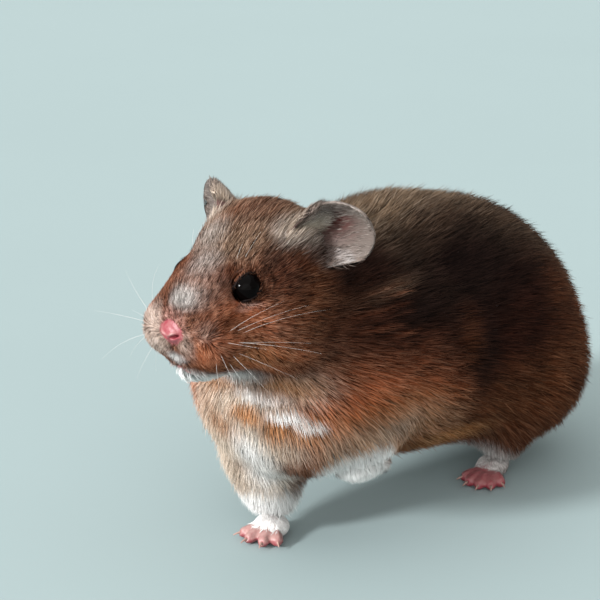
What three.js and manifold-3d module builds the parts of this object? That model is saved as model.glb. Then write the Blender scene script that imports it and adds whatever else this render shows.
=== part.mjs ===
// A Syrian hamster at life size, walking with its head up and its left forepaw lifted.
// Millimetres. +Z is up, the animal faces -Y and its left side is +X. The floor is Z = 0,
// and the origin is the middle of the bounding box's base. Every surface is the outside of
// the coat, out to the tips of the hair, or bare skin where the animal has none.

import * as THREE from "three";
import { LoftGeometry } from "three/addons/geometries/LoftGeometry.js";
import { mergeVertices } from "three/addons/utils/BufferGeometryUtils.js";
import Module from "manifold-3d";

const wasm = await Module();
wasm.setup();

// ---------------------------------------------------------------- driving dimensions

const GAP = 0.3; // between neighbouring solids
const MELT = 2.2; // how far neighbouring forms of the trunk flow into each other
const HEAD_MELT = 1.2; // and those of the head

const BACK_HEIGHT = 73; // floor to the top of the back
const BELLY_HEIGHT = 9; // floor to the belly
const TRUNK_WIDTH = 58;
const RUMP_Y = 57; // back of the rump
const TAIL_END_Y = 61.5;

const NOSE = [-5.3, -73, 61.1]; // tip of the nose
const HEAD_YAW = -6; // degrees, turned to the animal's right
const HEAD_PITCH = -2; // degrees, nose up is negative
const HEAD_ROLL = -3; // degrees, its left ear is the higher

const EYE_RADIUS = 3.1;
const EAR_LENGTH = 13.5;
const EAR_WIDTH = 14.5;
const EAR_THICKNESS = 1;
const TOE_RADIUS = 1.3;
const KNUCKLE_SPREAD = 2.3; // knuckles lie on an arc of this radius
const SOLE_CUT = 0.15; // pads are pressed flat by this much
const CLAW_LENGTH = 1.9;
const CLAW_RADIUS = 0.38;

// ---------------------------------------------------------------- fields of flesh

const at = (x, y, z) => new THREE.Vector3(x, y, z);
const degrees = THREE.MathUtils.degToRad;
const { lerp, clamp } = THREE.MathUtils;

// An ellipsoid of flesh. A field is the distance to its surface, negative inside.
function ball(centre, radii, frame = new THREE.Matrix4()) {
  const toLocal = frame.clone().multiply(new THREE.Matrix4().setPosition(centre)).invert();
  return (p) => {
    const q = p.clone().applyMatrix4(toLocal);
    const once = Math.hypot(q.x / radii[0], q.y / radii[1], q.z / radii[2]);
    const twice = Math.hypot(q.x / radii[0] ** 2, q.y / radii[1] ** 2, q.z / radii[2] ** 2);
    return twice > 0 ? (once * (once - 1)) / twice : -Math.min(...radii);
  };
}

// A tapered limb from a to b.
function limb(a, b, radiusA, radiusB, frame = new THREE.Matrix4()) {
  const start = a.clone().applyMatrix4(frame);
  const along = b.clone().applyMatrix4(frame).sub(start);
  return (p) => {
    const offset = p.clone().sub(start);
    const t = clamp(offset.dot(along) / along.lengthSq(), 0, 1);
    return offset.addScaledVector(along, -t).length() - lerp(radiusA, radiusB, t);
  };
}

// Forms that flow into each other over about `melt` mm.
function flesh(forms, melt = MELT) {
  return (p) => {
    let sum = 0;
    for (const form of forms) sum += Math.exp(-form(p) / melt);
    return -melt * Math.log(sum);
  };
}

// ---------------------------------------------------------------- solids

const STEP = 1.2; // mm, of a ray's march out of the flesh
const HALVINGS = 18;

// The point where a ray from inside the field leaves it.
function exit(field, from, direction, grow) {
  let inside = 0;
  while (field(from.clone().addScaledVector(direction, inside + STEP)) < grow) inside += STEP;
  let outside = inside + STEP;
  for (let i = 0; i < HALVINGS; i++) {
    const middle = (inside + outside) / 2;
    if (field(from.clone().addScaledVector(direction, middle)) < grow) inside = middle;
    else outside = middle;
  }
  return from.clone().addScaledVector(direction, inside);
}

// A skin drawn round a field: rays run square out of a path, and fan out over its two ends
// until the first and the last section are each a single point.
function wrap(field, path, { rings, sides, fan = 0.22, grow = 0, side = at(1, 0, 0) }) {
  const sections = [];
  for (let i = 0; i < rings; i++) {
    const s = i / (rings - 1);
    const u = clamp((s - fan) / (1 - 2 * fan), 0, 1);
    const lean = s < fan ? s / fan - 1 : s > 1 - fan ? (s - 1 + fan) / fan : 0;
    const origin = path.getPointAt(u);
    const forward = path.getTangentAt(u);
    const up = forward.clone().cross(side).normalize();
    const across = up.clone().cross(forward).normalize();
    const slope = (lean * Math.PI) / 2;
    const section = [];
    for (let j = 0; j < sides; j++) {
      const turn = (j / sides) * 2 * Math.PI;
      const ray = across.clone().multiplyScalar(Math.cos(turn) * Math.cos(slope));
      ray.addScaledVector(up, Math.sin(turn) * Math.cos(slope));
      ray.addScaledVector(forward, Math.sin(slope));
      section.push(exit(field, origin, ray, grow));
    }
    sections.push(section);
  }
  return solid(new LoftGeometry(sections));
}

// A closed geometry as a solid that can be cut and joined, placed by a matrix.
function solid(geometry, matrix = new THREE.Matrix4()) {
  const bare = new THREE.BufferGeometry().copy(geometry);
  for (const name of Object.keys(bare.attributes)) {
    if (name !== "position") bare.deleteAttribute(name);
  }
  const merged = mergeVertices(bare, 1e-4).applyMatrix4(matrix);
  const corners = merged.index.array;
  const faces = []; // all but those that a pole has drawn into a line
  for (let i = 0; i < corners.length; i += 3) {
    const [a, b, c] = corners.slice(i, i + 3);
    if (a !== b && b !== c && c !== a) faces.push(a, b, c);
  }
  const made = new wasm.Manifold(
    new wasm.Mesh({
      numProp: 3,
      vertProperties: new Float32Array(merged.attributes.position.array),
      triVerts: new Uint32Array(faces),
    }),
  );
  if (made.volume() <= 0) throw new Error("a solid is empty or inside out");
  return made;
}

const joined = (solids) => solids.reduce((sum, next) => sum.add(next));

// The main body of a solid, without the slivers that a cut can leave beside it.
const main = (body) => body.decompose().reduce((a, b) => (a.volume() > b.volume() ? a : b));

// An ellipsoid, `grow` mm larger all round.
function ellipsoid(centre, radii, { grow = 0, segments = 14, frame = new THREE.Matrix4() } = {}) {
  const geometry = new THREE.SphereGeometry(1, segments, Math.round(segments * 0.6));
  geometry.scale(...radii.map((r) => r + grow));
  return solid(geometry, frame.clone().multiply(new THREE.Matrix4().setPosition(centre)));
}

// All space behind a plane, as a block large enough for the whole animal.
const REACH = 400;
function behind(point, normal) {
  const block = new THREE.BoxGeometry(REACH, REACH, REACH).translate(0, 0, -REACH / 2);
  const turn = new THREE.Quaternion().setFromUnitVectors(at(0, 0, 1), normal.clone().normalize());
  return solid(block, new THREE.Matrix4().compose(point, turn, at(1, 1, 1)));
}

// A body cut in two by a plane: what lies behind the plane, and what lies before it.
function parted(body, point, normal) {
  const n = normal.clone().normalize();
  const back = behind(point.clone().addScaledVector(n, -GAP / 2), n);
  const front = behind(point.clone().addScaledVector(n, GAP / 2), n.clone().negate());
  return [body.intersect(back), body.intersect(front)];
}

// A frame at a point, with its Y along one direction and its Z close to another.
function facing(origin, along, towards) {
  const y = along.clone().normalize();
  const x = y.clone().cross(towards).normalize();
  return new THREE.Matrix4().makeBasis(x, y, x.clone().cross(y)).setPosition(origin);
}

const nodes = new Map(); // name -> [solid, finish]

// ---------------------------------------------------------------- head, neck and trunk

// In the head's frame the tip of the nose is the origin, and the animal looks along -Y.
const headFrame = new THREE.Matrix4().compose(
  at(...NOSE),
  new THREE.Quaternion().setFromEuler(
    new THREE.Euler(degrees(HEAD_PITCH), degrees(HEAD_ROLL), degrees(HEAD_YAW), "ZXY"),
  ),
  at(1, 1, 1),
);
const inHead = (x, y, z) => at(x, y, z).applyMatrix4(headFrame);
const SIDES = { left: 1, right: -1 };
const bothSides = Object.values(SIDES);

const EYE = at(7.95, 13.5, 6.7);
const headForms = [
  ball(at(0, 27, 5), [15.2, 15.5, 16.2], headFrame), // cranium
  ball(at(0, 14, 3.4), [9.1, 12.2, 8.7], headFrame), // bridge of the nose and brow
  limb(at(0, 12, 1), at(0, 3.4, -0.6), 7.2, 3.2, headFrame), // muzzle
  ball(at(0, 10.7, -7.8), [6.6, 8.7, 5.7], headFrame), // lower jaw
  ...bothSides.flatMap((s) => [
    ball(at(s * 6.5, 6.6, -2.7), [6, 5.7, 5.8], headFrame), // whisker pad
    ball(at(s * 4.8, 10, 1.4), [5.2, 6.5, 5], headFrame), // side of the muzzle
    ball(at(s * 9.5, 22, -3), [8, 10, 8.5], headFrame), // cheek
    ball(at(s * 6.4, 14, 8.6), [2.6, 5, 3], headFrame), // brow over the eye
  ]),
];

const ribs = (BACK_HEIGHT - BELLY_HEIGHT) / 2 - 2.5; // their radius, up and down
const trunkForms = [
  ball(at(-1, -3, BACK_HEIGHT + 1 - ribs - MELT), [25, 29, ribs]), // ribs and the arch of the back
  ball(at(0, 16, BELLY_HEIGHT + 29), [27, 31.5, 28]), // loins and belly
  ball(at(0, RUMP_Y - 27, 31), [25, 26, 25]), // rump
  ball(at(-4.5, -31, 37), [23.5, 23, 21]), // chest and shoulders
  ball(at(-2, -23, 49), [22.5, 21, 23.5]), // withers
  ball(at(-3, -36, 52), [18.5, 15, 20]), // neck
  ...bothSides.map((s) => ball(at(s * (TRUNK_WIDTH / 2 - 13), 30, 24), [13, 18, 16])), // thigh
];
const hide = flesh([flesh(trunkForms), flesh(headForms, HEAD_MELT)]);

const trunkPath = new THREE.CatmullRomCurve3([
  at(-2, -32, 41),
  at(-1, -14, 38),
  at(0, 6, 35),
  at(0, 28, 33),
]);
const headPath = new THREE.CatmullRomCurve3([
  inHead(0, 34, -1),
  inHead(0, 22, 1),
  inHead(0, 10, -0.5),
  inHead(0, 5.5, -1.5),
]);
const faceRound = { rings: 21, sides: 22, fan: 0.18 };
const body = wrap(hide, trunkPath, { rings: 21, sides: 26 });
const face = wrap(hide, headPath, faceRound);
const faceGrown = wrap(hide, headPath, { ...faceRound, grow: GAP });

const nape = inHead(0, 27, -2); // on the plane from the nape to the throat
const napeNormal = at(0, 0.8, -0.6).transformDirection(headFrame);
const withers = inHead(0, 34, -7); // on the plane between neck and trunk
const withersNormal = at(0, 0.85, -0.53).transformDirection(headFrame);

let [head] = parted(face, nape, napeNormal);

// ---------------------------------------------------------------- eyes, ears, nose and jaw

// A cupped leaf: local Y runs from its base to its tip and it opens towards +Z.
function earLeaf() {
  const ROWS = 8;
  const POINTS = 6;
  const sections = [];
  for (let i = 0; i < ROWS; i++) {
    const v = i / (ROWS - 1);
    const round = Math.sqrt(1 - Math.max(0, (v - 0.42) / 0.58) ** 2 * 0.985);
    const half = (EAR_WIDTH / 2) * round * lerp(0.8, 1, Math.min(1, v / 0.42));
    const cup = lerp(4.6, 0.6, v ** 1.3);
    const curl = 2.4 * v ** 2; // the tip bends forward
    const edge = [];
    for (let j = 0; j <= POINTS; j++) {
      const w = lerp(-1, 1, j / POINTS);
      edge.push([half * w, cup * w * w * (w < 0 ? 1.25 : 1) - cup + curl]);
    }
    const thick = EAR_THICKNESS / 2;
    sections.push([
      ...edge.map(([x, z]) => at(x, v * EAR_LENGTH, z - thick)),
      ...edge.reverse().map(([x, z]) => at(x, v * EAR_LENGTH, z + thick)),
    ]);
  }
  for (const section of sections) section.reverse();
  return new LoftGeometry(sections, { capStart: true, capEnd: true });
}

// Each ear is turned a little differently: from base to tip, and out of its hollow.
const EAR_BASE = at(13, 28, 13.2);
const EARS = {
  left: { axis: at(0.8, 0.37, 0.5), opening: at(0.5, -0.84, -0.21) },
  right: { axis: at(-0.7, 0.66, 0.12), opening: at(-0.66, -0.74, -0.1) },
};

for (const [name, s] of Object.entries(SIDES)) {
  const mirror = at(s, 1, 1);
  const eye = EYE.clone().multiply(mirror);
  head = head.subtract(ellipsoid(eye, Array(3).fill(EYE_RADIUS), { grow: GAP, frame: headFrame }));
  nodes.set(`eye_${name}`, [ellipsoid(eye, Array(3).fill(EYE_RADIUS), { frame: headFrame }), "eye"]);

  const { axis, opening } = EARS[name];
  const place = facing(EAR_BASE.clone().multiply(mirror), axis, opening).premultiply(headFrame);
  nodes.set(`ear_${name}`, [solid(earLeaf(), place).subtract(faceGrown), "ear"]);
}

const NOSE_PAD = [at(0, 1.7, -0.4), [2.3, 1.9, 1.7]];
head = head.subtract(ellipsoid(...NOSE_PAD, { grow: GAP, segments: 12, frame: headFrame }));
nodes.set("nose", [ellipsoid(...NOSE_PAD, { segments: 12, frame: headFrame }), "bare_skin"]);

const JAW = [at(0, 8.6, -12.9), [5.8, 7.6, 5]];
nodes.set("jaw", [head.intersect(ellipsoid(...JAW, { segments: 14, frame: headFrame })), "fur_pale"]);
head = head.subtract(ellipsoid(...JAW, { grow: GAP, segments: 14, frame: headFrame }));
nodes.set("head", [head, "fur"]);

// ---------------------------------------------------------------- limbs

// A limb as a solid, from the run of its bones as [point, radius].
function limbSolid(bones, { grow = 0, rings = 7, sides = 10, side = at(0.3, 1, 0.2) } = {}) {
  const forms = bones.slice(1).map(([p, r], i) => limb(bones[i][0], p, bones[i][1], r));
  const path = new THREE.CatmullRomCurve3(bones.map(([p]) => p));
  return wrap(flesh(forms, 0.8), path, { rings, sides, grow, side });
}

// ---------------------------------------------------------------- paws

// A paw on its palm: local -Y runs to the toes, Z is out of the back of the paw. Toes are
// [angle out from the middle, length], and each has its own claw.
const FORE_TOES = [[-42, 4.6], [-14, 5.6], [14, 5.6], [42, 4.4]];
const HIND_TOES = [[-42, 4.2], [-18, 5.8], [2, 6.3], [22, 5.8], [46, 4]];

function clawGeometry(grow) {
  const sections = [0, 0.5, 1].map((t) => {
    const radius = lerp(CLAW_RADIUS, 0.12, t) + grow;
    const reach = t * (CLAW_LENGTH + 2 * grow) - grow;
    const ring = [];
    for (let j = 0; j < 4; j++) {
      const turn = (j / 4) * 2 * Math.PI;
      ring.push(at(Math.cos(turn) * radius, -reach, Math.sin(turn) * radius - 0.5 * t * t));
    }
    return ring;
  });
  return new LoftGeometry(sections, { capStart: true, capEnd: true });
}

// The frame of each toe of a paw: its origin is the knuckle, and -Y runs to the tip.
function toeFrames(frame, toes) {
  return toes.map(([angle]) => {
    const knuckle = at(Math.sin(degrees(angle)) * KNUCKLE_SPREAD, -1.2, TOE_RADIUS - SOLE_CUT);
    const root = new THREE.Matrix4().makeRotationZ(degrees(angle)).setPosition(knuckle);
    return root.premultiply(frame);
  });
}

function pawSolid(frame, toes, palm, grow) {
  const roots = toeFrames(frame, toes);
  const digits = toes.map(([, length], i) => {
    const run = [
      [at(0, 0, 0.8), TOE_RADIUS],
      [at(0, -length * 0.55, 0.5), TOE_RADIUS * 0.9],
      [at(0, -length, 0), TOE_RADIUS],
    ];
    const bones = run.map(([p, r]) => [p.applyMatrix4(roots[i]), r]);
    const side = at(1, 0.1, 0).transformDirection(roots[i]);
    return limbSolid(bones, { rings: 5, sides: 5, side, grow });
  });
  return joined([ellipsoid(...palm, { segments: 10, frame, grow }), ...digits]);
}

// The paw with a pocket for each claw, and its claws.
function clawed(paw, name, frame, toes) {
  let left = paw;
  toeFrames(frame, toes).forEach((root, i) => {
    const tip = root.multiply(new THREE.Matrix4().setPosition(0, -toes[i][1] - 0.1, 0.35));
    left = left.subtract(solid(clawGeometry(GAP), tip));
    nodes.set(`claw_${name}_${i + 1}`, [solid(clawGeometry(0), tip), "claw"]);
  });
  return left;
}

// ---------------------------------------------------------------- legs

// Each leg: the ball of flesh that it takes from the trunk, the run of its bones as
// [point, radius], and its paw, which stands at a point of its sole, with its toes ahead.
const UP = at(0, 0, 1);
const FORE_PALM = [at(0, 0, 2.2), [4.1, 4, 2.7]];
const HIND_PALM = [at(0, 2.2, 2.1), [3.7, 5.6, 2.7]];
const LEGS = {
  foreleg_right: {
    haunch: [at(-15.5, -31, 33), [14, 13, 14]],
    bones: [
      [at(-13, -31, 31), 12],
      [at(-12.3, -32, 22), 11.6],
      [at(-11, -33, 13.5), 8],
      [at(-10, -33.2, 8.5), 5.3],
      [at(-9.6, -33.2, 5.6), 4.6],
    ],
    paw: { name: "forepaw_right", sole: at(-9.6, -34.5, 0), ahead: at(0.07, -1, 0), back: UP },
  },
  foreleg_left: {
    haunch: [at(15.5, -26, 34), [12, 12, 13.5]],
    bones: [[at(12.4, -22, 30), 7], [at(12.8, -27, 26.6), 5.8], [at(11.2, -32, 23.8), 4.3]],
    paw: {
      name: "forepaw_left",
      sole: at(9, -29, 22.2),
      ahead: at(-0.2, 0.75, -0.6),
      back: at(0.45, -0.5, -0.75),
    },
  },
  hindleg_left: {
    haunch: [at(18.5, 26, 24), [16, 19, 17]],
    bones: [[at(16, 26, 21), 11], [at(15, 23, 12), 6.8], [at(13.5, 22, 5.2), 4.2]],
    paw: { name: "hindpaw_left", sole: at(13, 19, 0), ahead: at(0.2, -1, 0), back: UP },
  },
  hindleg_right: {
    haunch: [at(-18.5, 31, 24), [16, 19, 17]],
    bones: [[at(-16, 32, 21), 11], [at(-16.5, 35, 12), 6.8], [at(-16, 36, 5.2), 4.2]],
    paw: { name: "hindpaw_right", sole: at(-15.5, 33, 0), ahead: at(-0.2, -1, 0), back: UP },
  },
};

const aboveFloor = behind(at(0, 0, 0), UP.clone().negate());
const [, behindNape] = parted(body, nape, napeNormal);
let rest = behindNape;
for (const [name, { haunch, bones, paw }] of Object.entries(LEGS)) {
  rest = rest.subtract(ellipsoid(...haunch, { grow: GAP }));
  rest = rest.subtract(limbSolid(bones, { grow: GAP }));
  const frame = facing(paw.sole, paw.ahead.clone().negate(), paw.back);
  const [toes, palm] = name.startsWith("fore") ? [FORE_TOES, FORE_PALM] : [HIND_TOES, HIND_PALM];
  rest = rest.subtract(pawSolid(frame, toes, palm, GAP));
  const leg = behindNape.intersect(ellipsoid(...haunch)).add(limbSolid(bones));
  nodes.set(name, [leg.subtract(pawSolid(frame, toes, palm, GAP)), "fur"]);
  const foot = clawed(pawSolid(frame, toes, palm, 0), paw.name, frame, toes);
  nodes.set(paw.name, [foot.intersect(aboveFloor), "bare_skin"]);
}

// ---------------------------------------------------------------- tail, neck and trunk

const TAIL = [[at(0, 42, 23), 4], [at(0, 52, 19.5), 3], [at(0, TAIL_END_Y - 1.5, 16), 1.5]];
rest = rest.subtract(limbSolid(TAIL, { grow: GAP }));
nodes.set("tail", [limbSolid(TAIL), "fur"]);

const [neck, trunk] = parted(rest, withers, withersNormal);
nodes.set("neck", [neck, "fur"]);
nodes.set("trunk", [trunk, "fur"]);

// ---------------------------------------------------------------- assembly

const FINISHES = {
  fur: { color: 0x8a6242, roughness: 0.9 },
  fur_pale: { color: 0xe6dcd0, roughness: 0.9 },
  ear: { color: 0x8d7a72, roughness: 0.75 },
  bare_skin: { color: 0xd98a86, roughness: 0.6 },
  eye: { color: 0x060506, roughness: 0.05 },
  claw: { color: 0x3a2a26, roughness: 0.4 },
};

const hamster = new THREE.Group();
for (const [name, [body, finish]] of nodes) {
  const { vertProperties, triVerts } = main(body).getMesh();
  const geometry = new THREE.BufferGeometry();
  geometry.setAttribute("position", new THREE.BufferAttribute(vertProperties, 3));
  geometry.setIndex(new THREE.BufferAttribute(triVerts, 1));
  const mesh = new THREE.Mesh(geometry, new THREE.MeshStandardMaterial(FINISHES[finish]));
  mesh.name = name;
  hamster.add(mesh);
}

// The origin is the middle of the base of the bounding box.
const middle = new THREE.Box3().setFromObject(hamster).getCenter(at(0, 0, 0));
hamster.position.set(-middle.x, -middle.y, 0);

export default hamster;
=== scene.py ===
"""A Syrian hamster at life size: skin, fur, eyes, claws and whiskers around its solids.

The animal faces -Y, its left side is +X and the floor is Z = 0. Sizes in the tables are in
millimetres, and meshes are made in metres. "Row" places are in the frame of the solids, and
"head" places have the tip of the nose as their origin, with the animal looking along -Y.
"""

import math
from contextlib import contextmanager
from functools import partial

import bmesh
import bpy
import numpy as np
from bpy.props import FloatProperty, FloatVectorProperty, IntProperty, PointerProperty
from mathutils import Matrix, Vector
from mathutils.bvhtree import BVHTree


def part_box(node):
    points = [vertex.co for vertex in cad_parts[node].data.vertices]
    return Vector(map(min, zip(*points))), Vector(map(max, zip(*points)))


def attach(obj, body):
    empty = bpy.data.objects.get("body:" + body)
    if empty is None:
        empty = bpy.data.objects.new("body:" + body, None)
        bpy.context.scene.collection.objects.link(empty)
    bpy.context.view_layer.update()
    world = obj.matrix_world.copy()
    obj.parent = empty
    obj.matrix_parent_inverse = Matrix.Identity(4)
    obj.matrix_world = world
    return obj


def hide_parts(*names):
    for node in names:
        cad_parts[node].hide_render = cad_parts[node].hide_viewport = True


bl_info = {
    "name": "Syrian hamster",
    "version": (1, 0, 0),
    "blender": (4, 5, 0),
    "location": "3D View > Sidebar > Hamster",
    "description": "Dresses the solids of a Syrian hamster in skin, fur, eyes, claws and whiskers",
    "category": "Object",
}

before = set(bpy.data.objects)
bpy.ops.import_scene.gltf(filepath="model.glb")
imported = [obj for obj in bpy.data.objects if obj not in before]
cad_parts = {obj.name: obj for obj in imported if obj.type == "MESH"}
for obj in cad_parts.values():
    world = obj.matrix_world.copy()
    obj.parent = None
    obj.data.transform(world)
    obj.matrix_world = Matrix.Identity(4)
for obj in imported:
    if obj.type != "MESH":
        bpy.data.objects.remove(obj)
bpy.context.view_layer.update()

MM = 0.001
SEED = 11
SIDES = (1, -1)  # the animal's left and right

HEAD_FLESH = ("head", "jaw", "nose")
TRUNK_FLESH = ("neck", "trunk", "tail")
LEG_FLESH = ("foreleg_left", "foreleg_right", "hindleg_left", "hindleg_right")
PAWS = ("forepaw_left", "forepaw_right", "hindpaw_left", "hindpaw_right")
EARS = {"ear_left": 1, "ear_right": -1}  # and their sides


def linear(hex_colour):
    """An sRGB hex colour as linear red, green and blue."""
    parts = [int(hex_colour[i : i + 2], 16) / 255 for i in (1, 3, 5)]
    return [p / 12.92 if p <= 0.04045 else ((p + 0.055) / 1.055) ** 2.4 for p in parts]


# ---------------------------------------------------------------- sizes and colours


def tint(name, description, hex_colour):
    """A colour that the user can change."""
    colour = linear(hex_colour)
    return FloatVectorProperty(
        name=name, description=description, default=colour, subtype="COLOR", min=0, max=1
    )


def length(name, description, default):
    """A length that the user can change, in metres."""
    look = {"subtype": "DISTANCE", "unit": "LENGTH", "precision": 5}
    return FloatProperty(name=name, description=description, default=default, min=0.00001, **look)


def number(name, description, default):
    """A count that the user can change."""
    return IntProperty(name=name, description=description, default=default, min=100)


class HamsterSizes(bpy.types.PropertyGroup):
    """Sizes of the skin and of what grows from it."""

    body_voxel: length("Body grain", "Edge of a face of the skin on the body", 0.0009)
    paw_voxel: length("Paw grain", "Edge of a face of the skin on the paws", 0.00032)
    eye_radius: length("Eye radius", "Radius of an eyeball", 0.0031)
    eye_opening: length("Eye opening", "Half the length of the opening between the lids", 0.003)
    ear_thickness: length("Ear thickness", "Thickness of the leaf of an ear", 0.0006)
    hair_width: length("Hair width", "Width of a lock of the body's coat", 0.00022)
    face_hair_width: length("Face hair width", "Width of a lock of the face's coat", 0.00018)
    whisker_radius: length("Whisker radius", "Radius of a whisker at its root", 0.000024)
    face_locks: number("Locks on the head", "How many", 120000)
    body_locks: number("Locks on the body", "How many", 118000)


class HamsterColours(bpy.types.PropertyGroup):
    """Colours of the coat, the skin, the eyes and the stage."""

    agouti: tint("Agouti", "Ground colour of the coat", "#663a27")
    olive: tint("Olive", "Crown and back", "#7b644e")
    umber: tint("Umber", "Dark band behind the ears and along the flank", "#261814")
    # also painted shade over the rump
    bark: tint("Bark", "Rump and side of the neck", "#351a11")
    chestnut: tint("Chestnut", "Thigh and the side of the head", "#5f331c")
    rust: tint("Rust", "Line before the eye", "#401b09")
    tan: tint("Tan", "Cheek, bridge of the nose and lower flank", "#b05e3a")
    apricot: tint("Apricot", "Patches on the chest", "#b67545")
    cream: tint("Cream", "Chest and upper arm", "#d2bca7")
    # also painted light on the far whisker pad
    peach: tint("Peach", "Front of the whisker pads", "#c1a899")
    white: tint("White", "Chin, throat, wrists and belly", "#f8f5f2")
    # pale hair, and painted sheen on the forehead and the bridge of the nose
    frost: tint("Frost", "Pale patches on the nose and before the ears", "#b2aaa2")
    ear_fur: tint("Ear fur", "Short hair on the ears", "#988b82")
    blush: tint("Blush", "Skin that shows through the fur of the muzzle", "#b07a6c")
    pink: tint("Pink", "Bare skin of the nose and toes", "#ac8e87")
    # the nose's own deeper pink, and also painted shade in the nostrils and under the paws
    deep_pink: tint("Deep pink", "Creases of the bare skin", "#89353e")
    ear_skin: tint("Ear skin", "Skin of the ear's leaf", "#6e635d")
    # painted shade deep in the ears' hollows, over their redder skin
    ear_hollow: tint("Ear hollow", "Skin deep in the ear", "#4c0f0d")
    eye: tint("Eye", "Eyeball", "#030202")
    lid: tint("Lid", "Rim of the eyelids", "#120b0a")
    claw: tint("Claw", "Horn of a claw", "#80655d")
    floor: tint("Floor", "Floor of the stage", "#97a7a8")
    air: tint("Air", "Light from all round the stage", "#ecebe8")


# ---------------------------------------------------------------- frames and small helpers


def turn(yaw, pitch, roll):
    """A turn by roll about Y, then pitch about X, then yaw about Z, in degrees."""
    (cy, sy), (cp, sp), (cr, sr) = (
        (math.cos(math.radians(a)), math.sin(math.radians(a))) for a in (yaw, pitch, roll)
    )
    about_z = np.array(((cy, -sy, 0), (sy, cy, 0), (0, 0, 1)))
    about_x = np.array(((1, 0, 0), (0, cp, -sp), (0, sp, cp)))
    about_y = np.array(((cr, 0, sr), (0, 1, 0), (-sr, 0, cr)))
    return about_z @ about_x @ about_y


NOSE_TIP = np.array((-5.3, -67.08, 61.1))
HEAD_TURN = turn(-6, -2, -3)


def from_head(points):
    return np.asarray(points, float) @ HEAD_TURN.T + NOSE_TIP


def to_head(points):
    return (points - NOSE_TIP) @ HEAD_TURN


def unit(vectors):
    return vectors / np.maximum(np.linalg.norm(vectors, axis=-1, keepdims=True), 1e-9)


def level(ways, up):
    """Ways along a surface, near the given ones. Up is the way out of it."""
    return unit(ways - up * (ways * up).sum(1, keepdims=True))


def smooth(x, low, high):
    """0 below low, 1 above high and smooth between."""
    t = np.clip((x - low) / (high - low), 0, 1)
    return t * t * (3 - 2 * t)


def bell(x):
    """1 at 0, and fading smoothly to nothing on both sides."""
    return np.exp(-(x**2))


def near(points, spot, reach):
    """1 at a spot, fading to nothing a few reaches away."""
    return np.exp(-0.5 * ((points - spot) ** 2).sum(1) / reach**2)


def waves(points, wavelength, seed):
    """Smooth noise of one wavelength, from -1 to 1, as three numbers for each point."""
    rng = np.random.default_rng(seed)
    total = np.zeros((len(points), 3))
    for _ in range(5):
        ways = unit(rng.normal(size=(3, 3))) * 2 * math.pi / wavelength * rng.uniform(0.7, 1.4)
        total += np.sin(points @ ways.T + rng.uniform(0, 6.28, 3))
    return total / 5


def link(obj):
    bpy.context.scene.collection.objects.link(obj)
    return obj


def piece(name, mesh, *materials):
    """An object of a mesh, smooth, in its materials."""
    mesh.name = name
    mesh.shade_smooth()
    for material in materials:
        mesh.materials.append(material)
    return link(bpy.data.objects.new(name, mesh))


def column(items, name, width=1, kind=np.float32):
    """A property of all of a mesh's items, with a row for each."""
    flat = np.empty(len(items) * width, kind)
    items.foreach_get(name, flat)
    return flat.reshape(-1, width)


def positions(mesh):
    return column(mesh.vertices, "co", 3).astype(float) / MM


def normals(mesh):
    return column(mesh.vertex_normals, "vector", 3).astype(float)


def edges_of(mesh):
    return column(mesh.edges, "vertices", 2, np.int32)


def faces_of(mesh):
    return [list(polygon.vertices) for polygon in mesh.polygons]


def parts_of(mesh):
    """Which part each vertex of the skin is of."""
    return column(mesh.attributes["part"].data, "value", kind=np.int32)[:, 0]


def place(mesh, points):
    mesh.vertices.foreach_set("co", (points * MM).astype(np.float32).ravel())
    mesh.update()


def add_vectors(mesh, name, rows):
    """Gives a mesh's vertices an attribute of three numbers."""
    made = mesh.attributes.new(name, "FLOAT_VECTOR", "POINT")
    made.data.foreach_set("vector", rows.astype(np.float32).ravel())


@contextmanager
def edited(mesh, result=None):
    """A mesh opened for changes, which are kept in it or in another."""
    bm = bmesh.new()
    bm.from_mesh(mesh)
    yield bm
    bm.to_mesh(result or mesh)
    bm.free()


def modified(mesh, kind, **values):
    """A mesh after one modifier, whose values are its settings or a node group's inputs."""
    draft = link(bpy.data.objects.new("draft", mesh))
    modifier = draft.modifiers.new("draft", kind)
    for name, value in values.items():
        if hasattr(modifier, name):
            setattr(modifier, name, value)
        else:
            modifier[name] = value
    evaluated = draft.evaluated_get(bpy.context.evaluated_depsgraph_get())
    result = bpy.data.meshes.new_from_object(evaluated)
    bpy.data.objects.remove(draft)
    bpy.data.meshes.remove(mesh)
    return result


def relax(values, edges, rounds):
    """Moves each vertex's values halfway to the mean of its neighbours', some times over."""
    first, second = edges.T
    count = np.maximum(np.bincount(edges.ravel(), minlength=len(values)), 1)[:, None]
    for _ in range(rounds):
        total = np.empty_like(values)
        for k, column_k in enumerate(values.T):
            total[:, k] = np.bincount(first, column_k[second], len(values))
            total[:, k] += np.bincount(second, column_k[first], len(values))
        values = values + (total / count - values) * 0.5
    return values


def grid_faces(rows, columns, closed=False):
    """Faces of a grid of points whose columns run round, and whose rows do so if closed."""
    steps = [(i, (i + 1) % rows) for i in range(rows if closed else rows - 1)]
    lanes = [(j, (j + 1) % columns) for j in range(columns)]
    corners = ((0, 0), (0, 1), (1, 1), (1, 0))
    return [[row[p] * columns + lane[q] for p, q in corners] for row in steps for lane in lanes]


def settings():
    return bpy.context.scene.hamster_sizes, bpy.context.scene.hamster_colours


# ---------------------------------------------------------------- the lie of the coat

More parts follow.
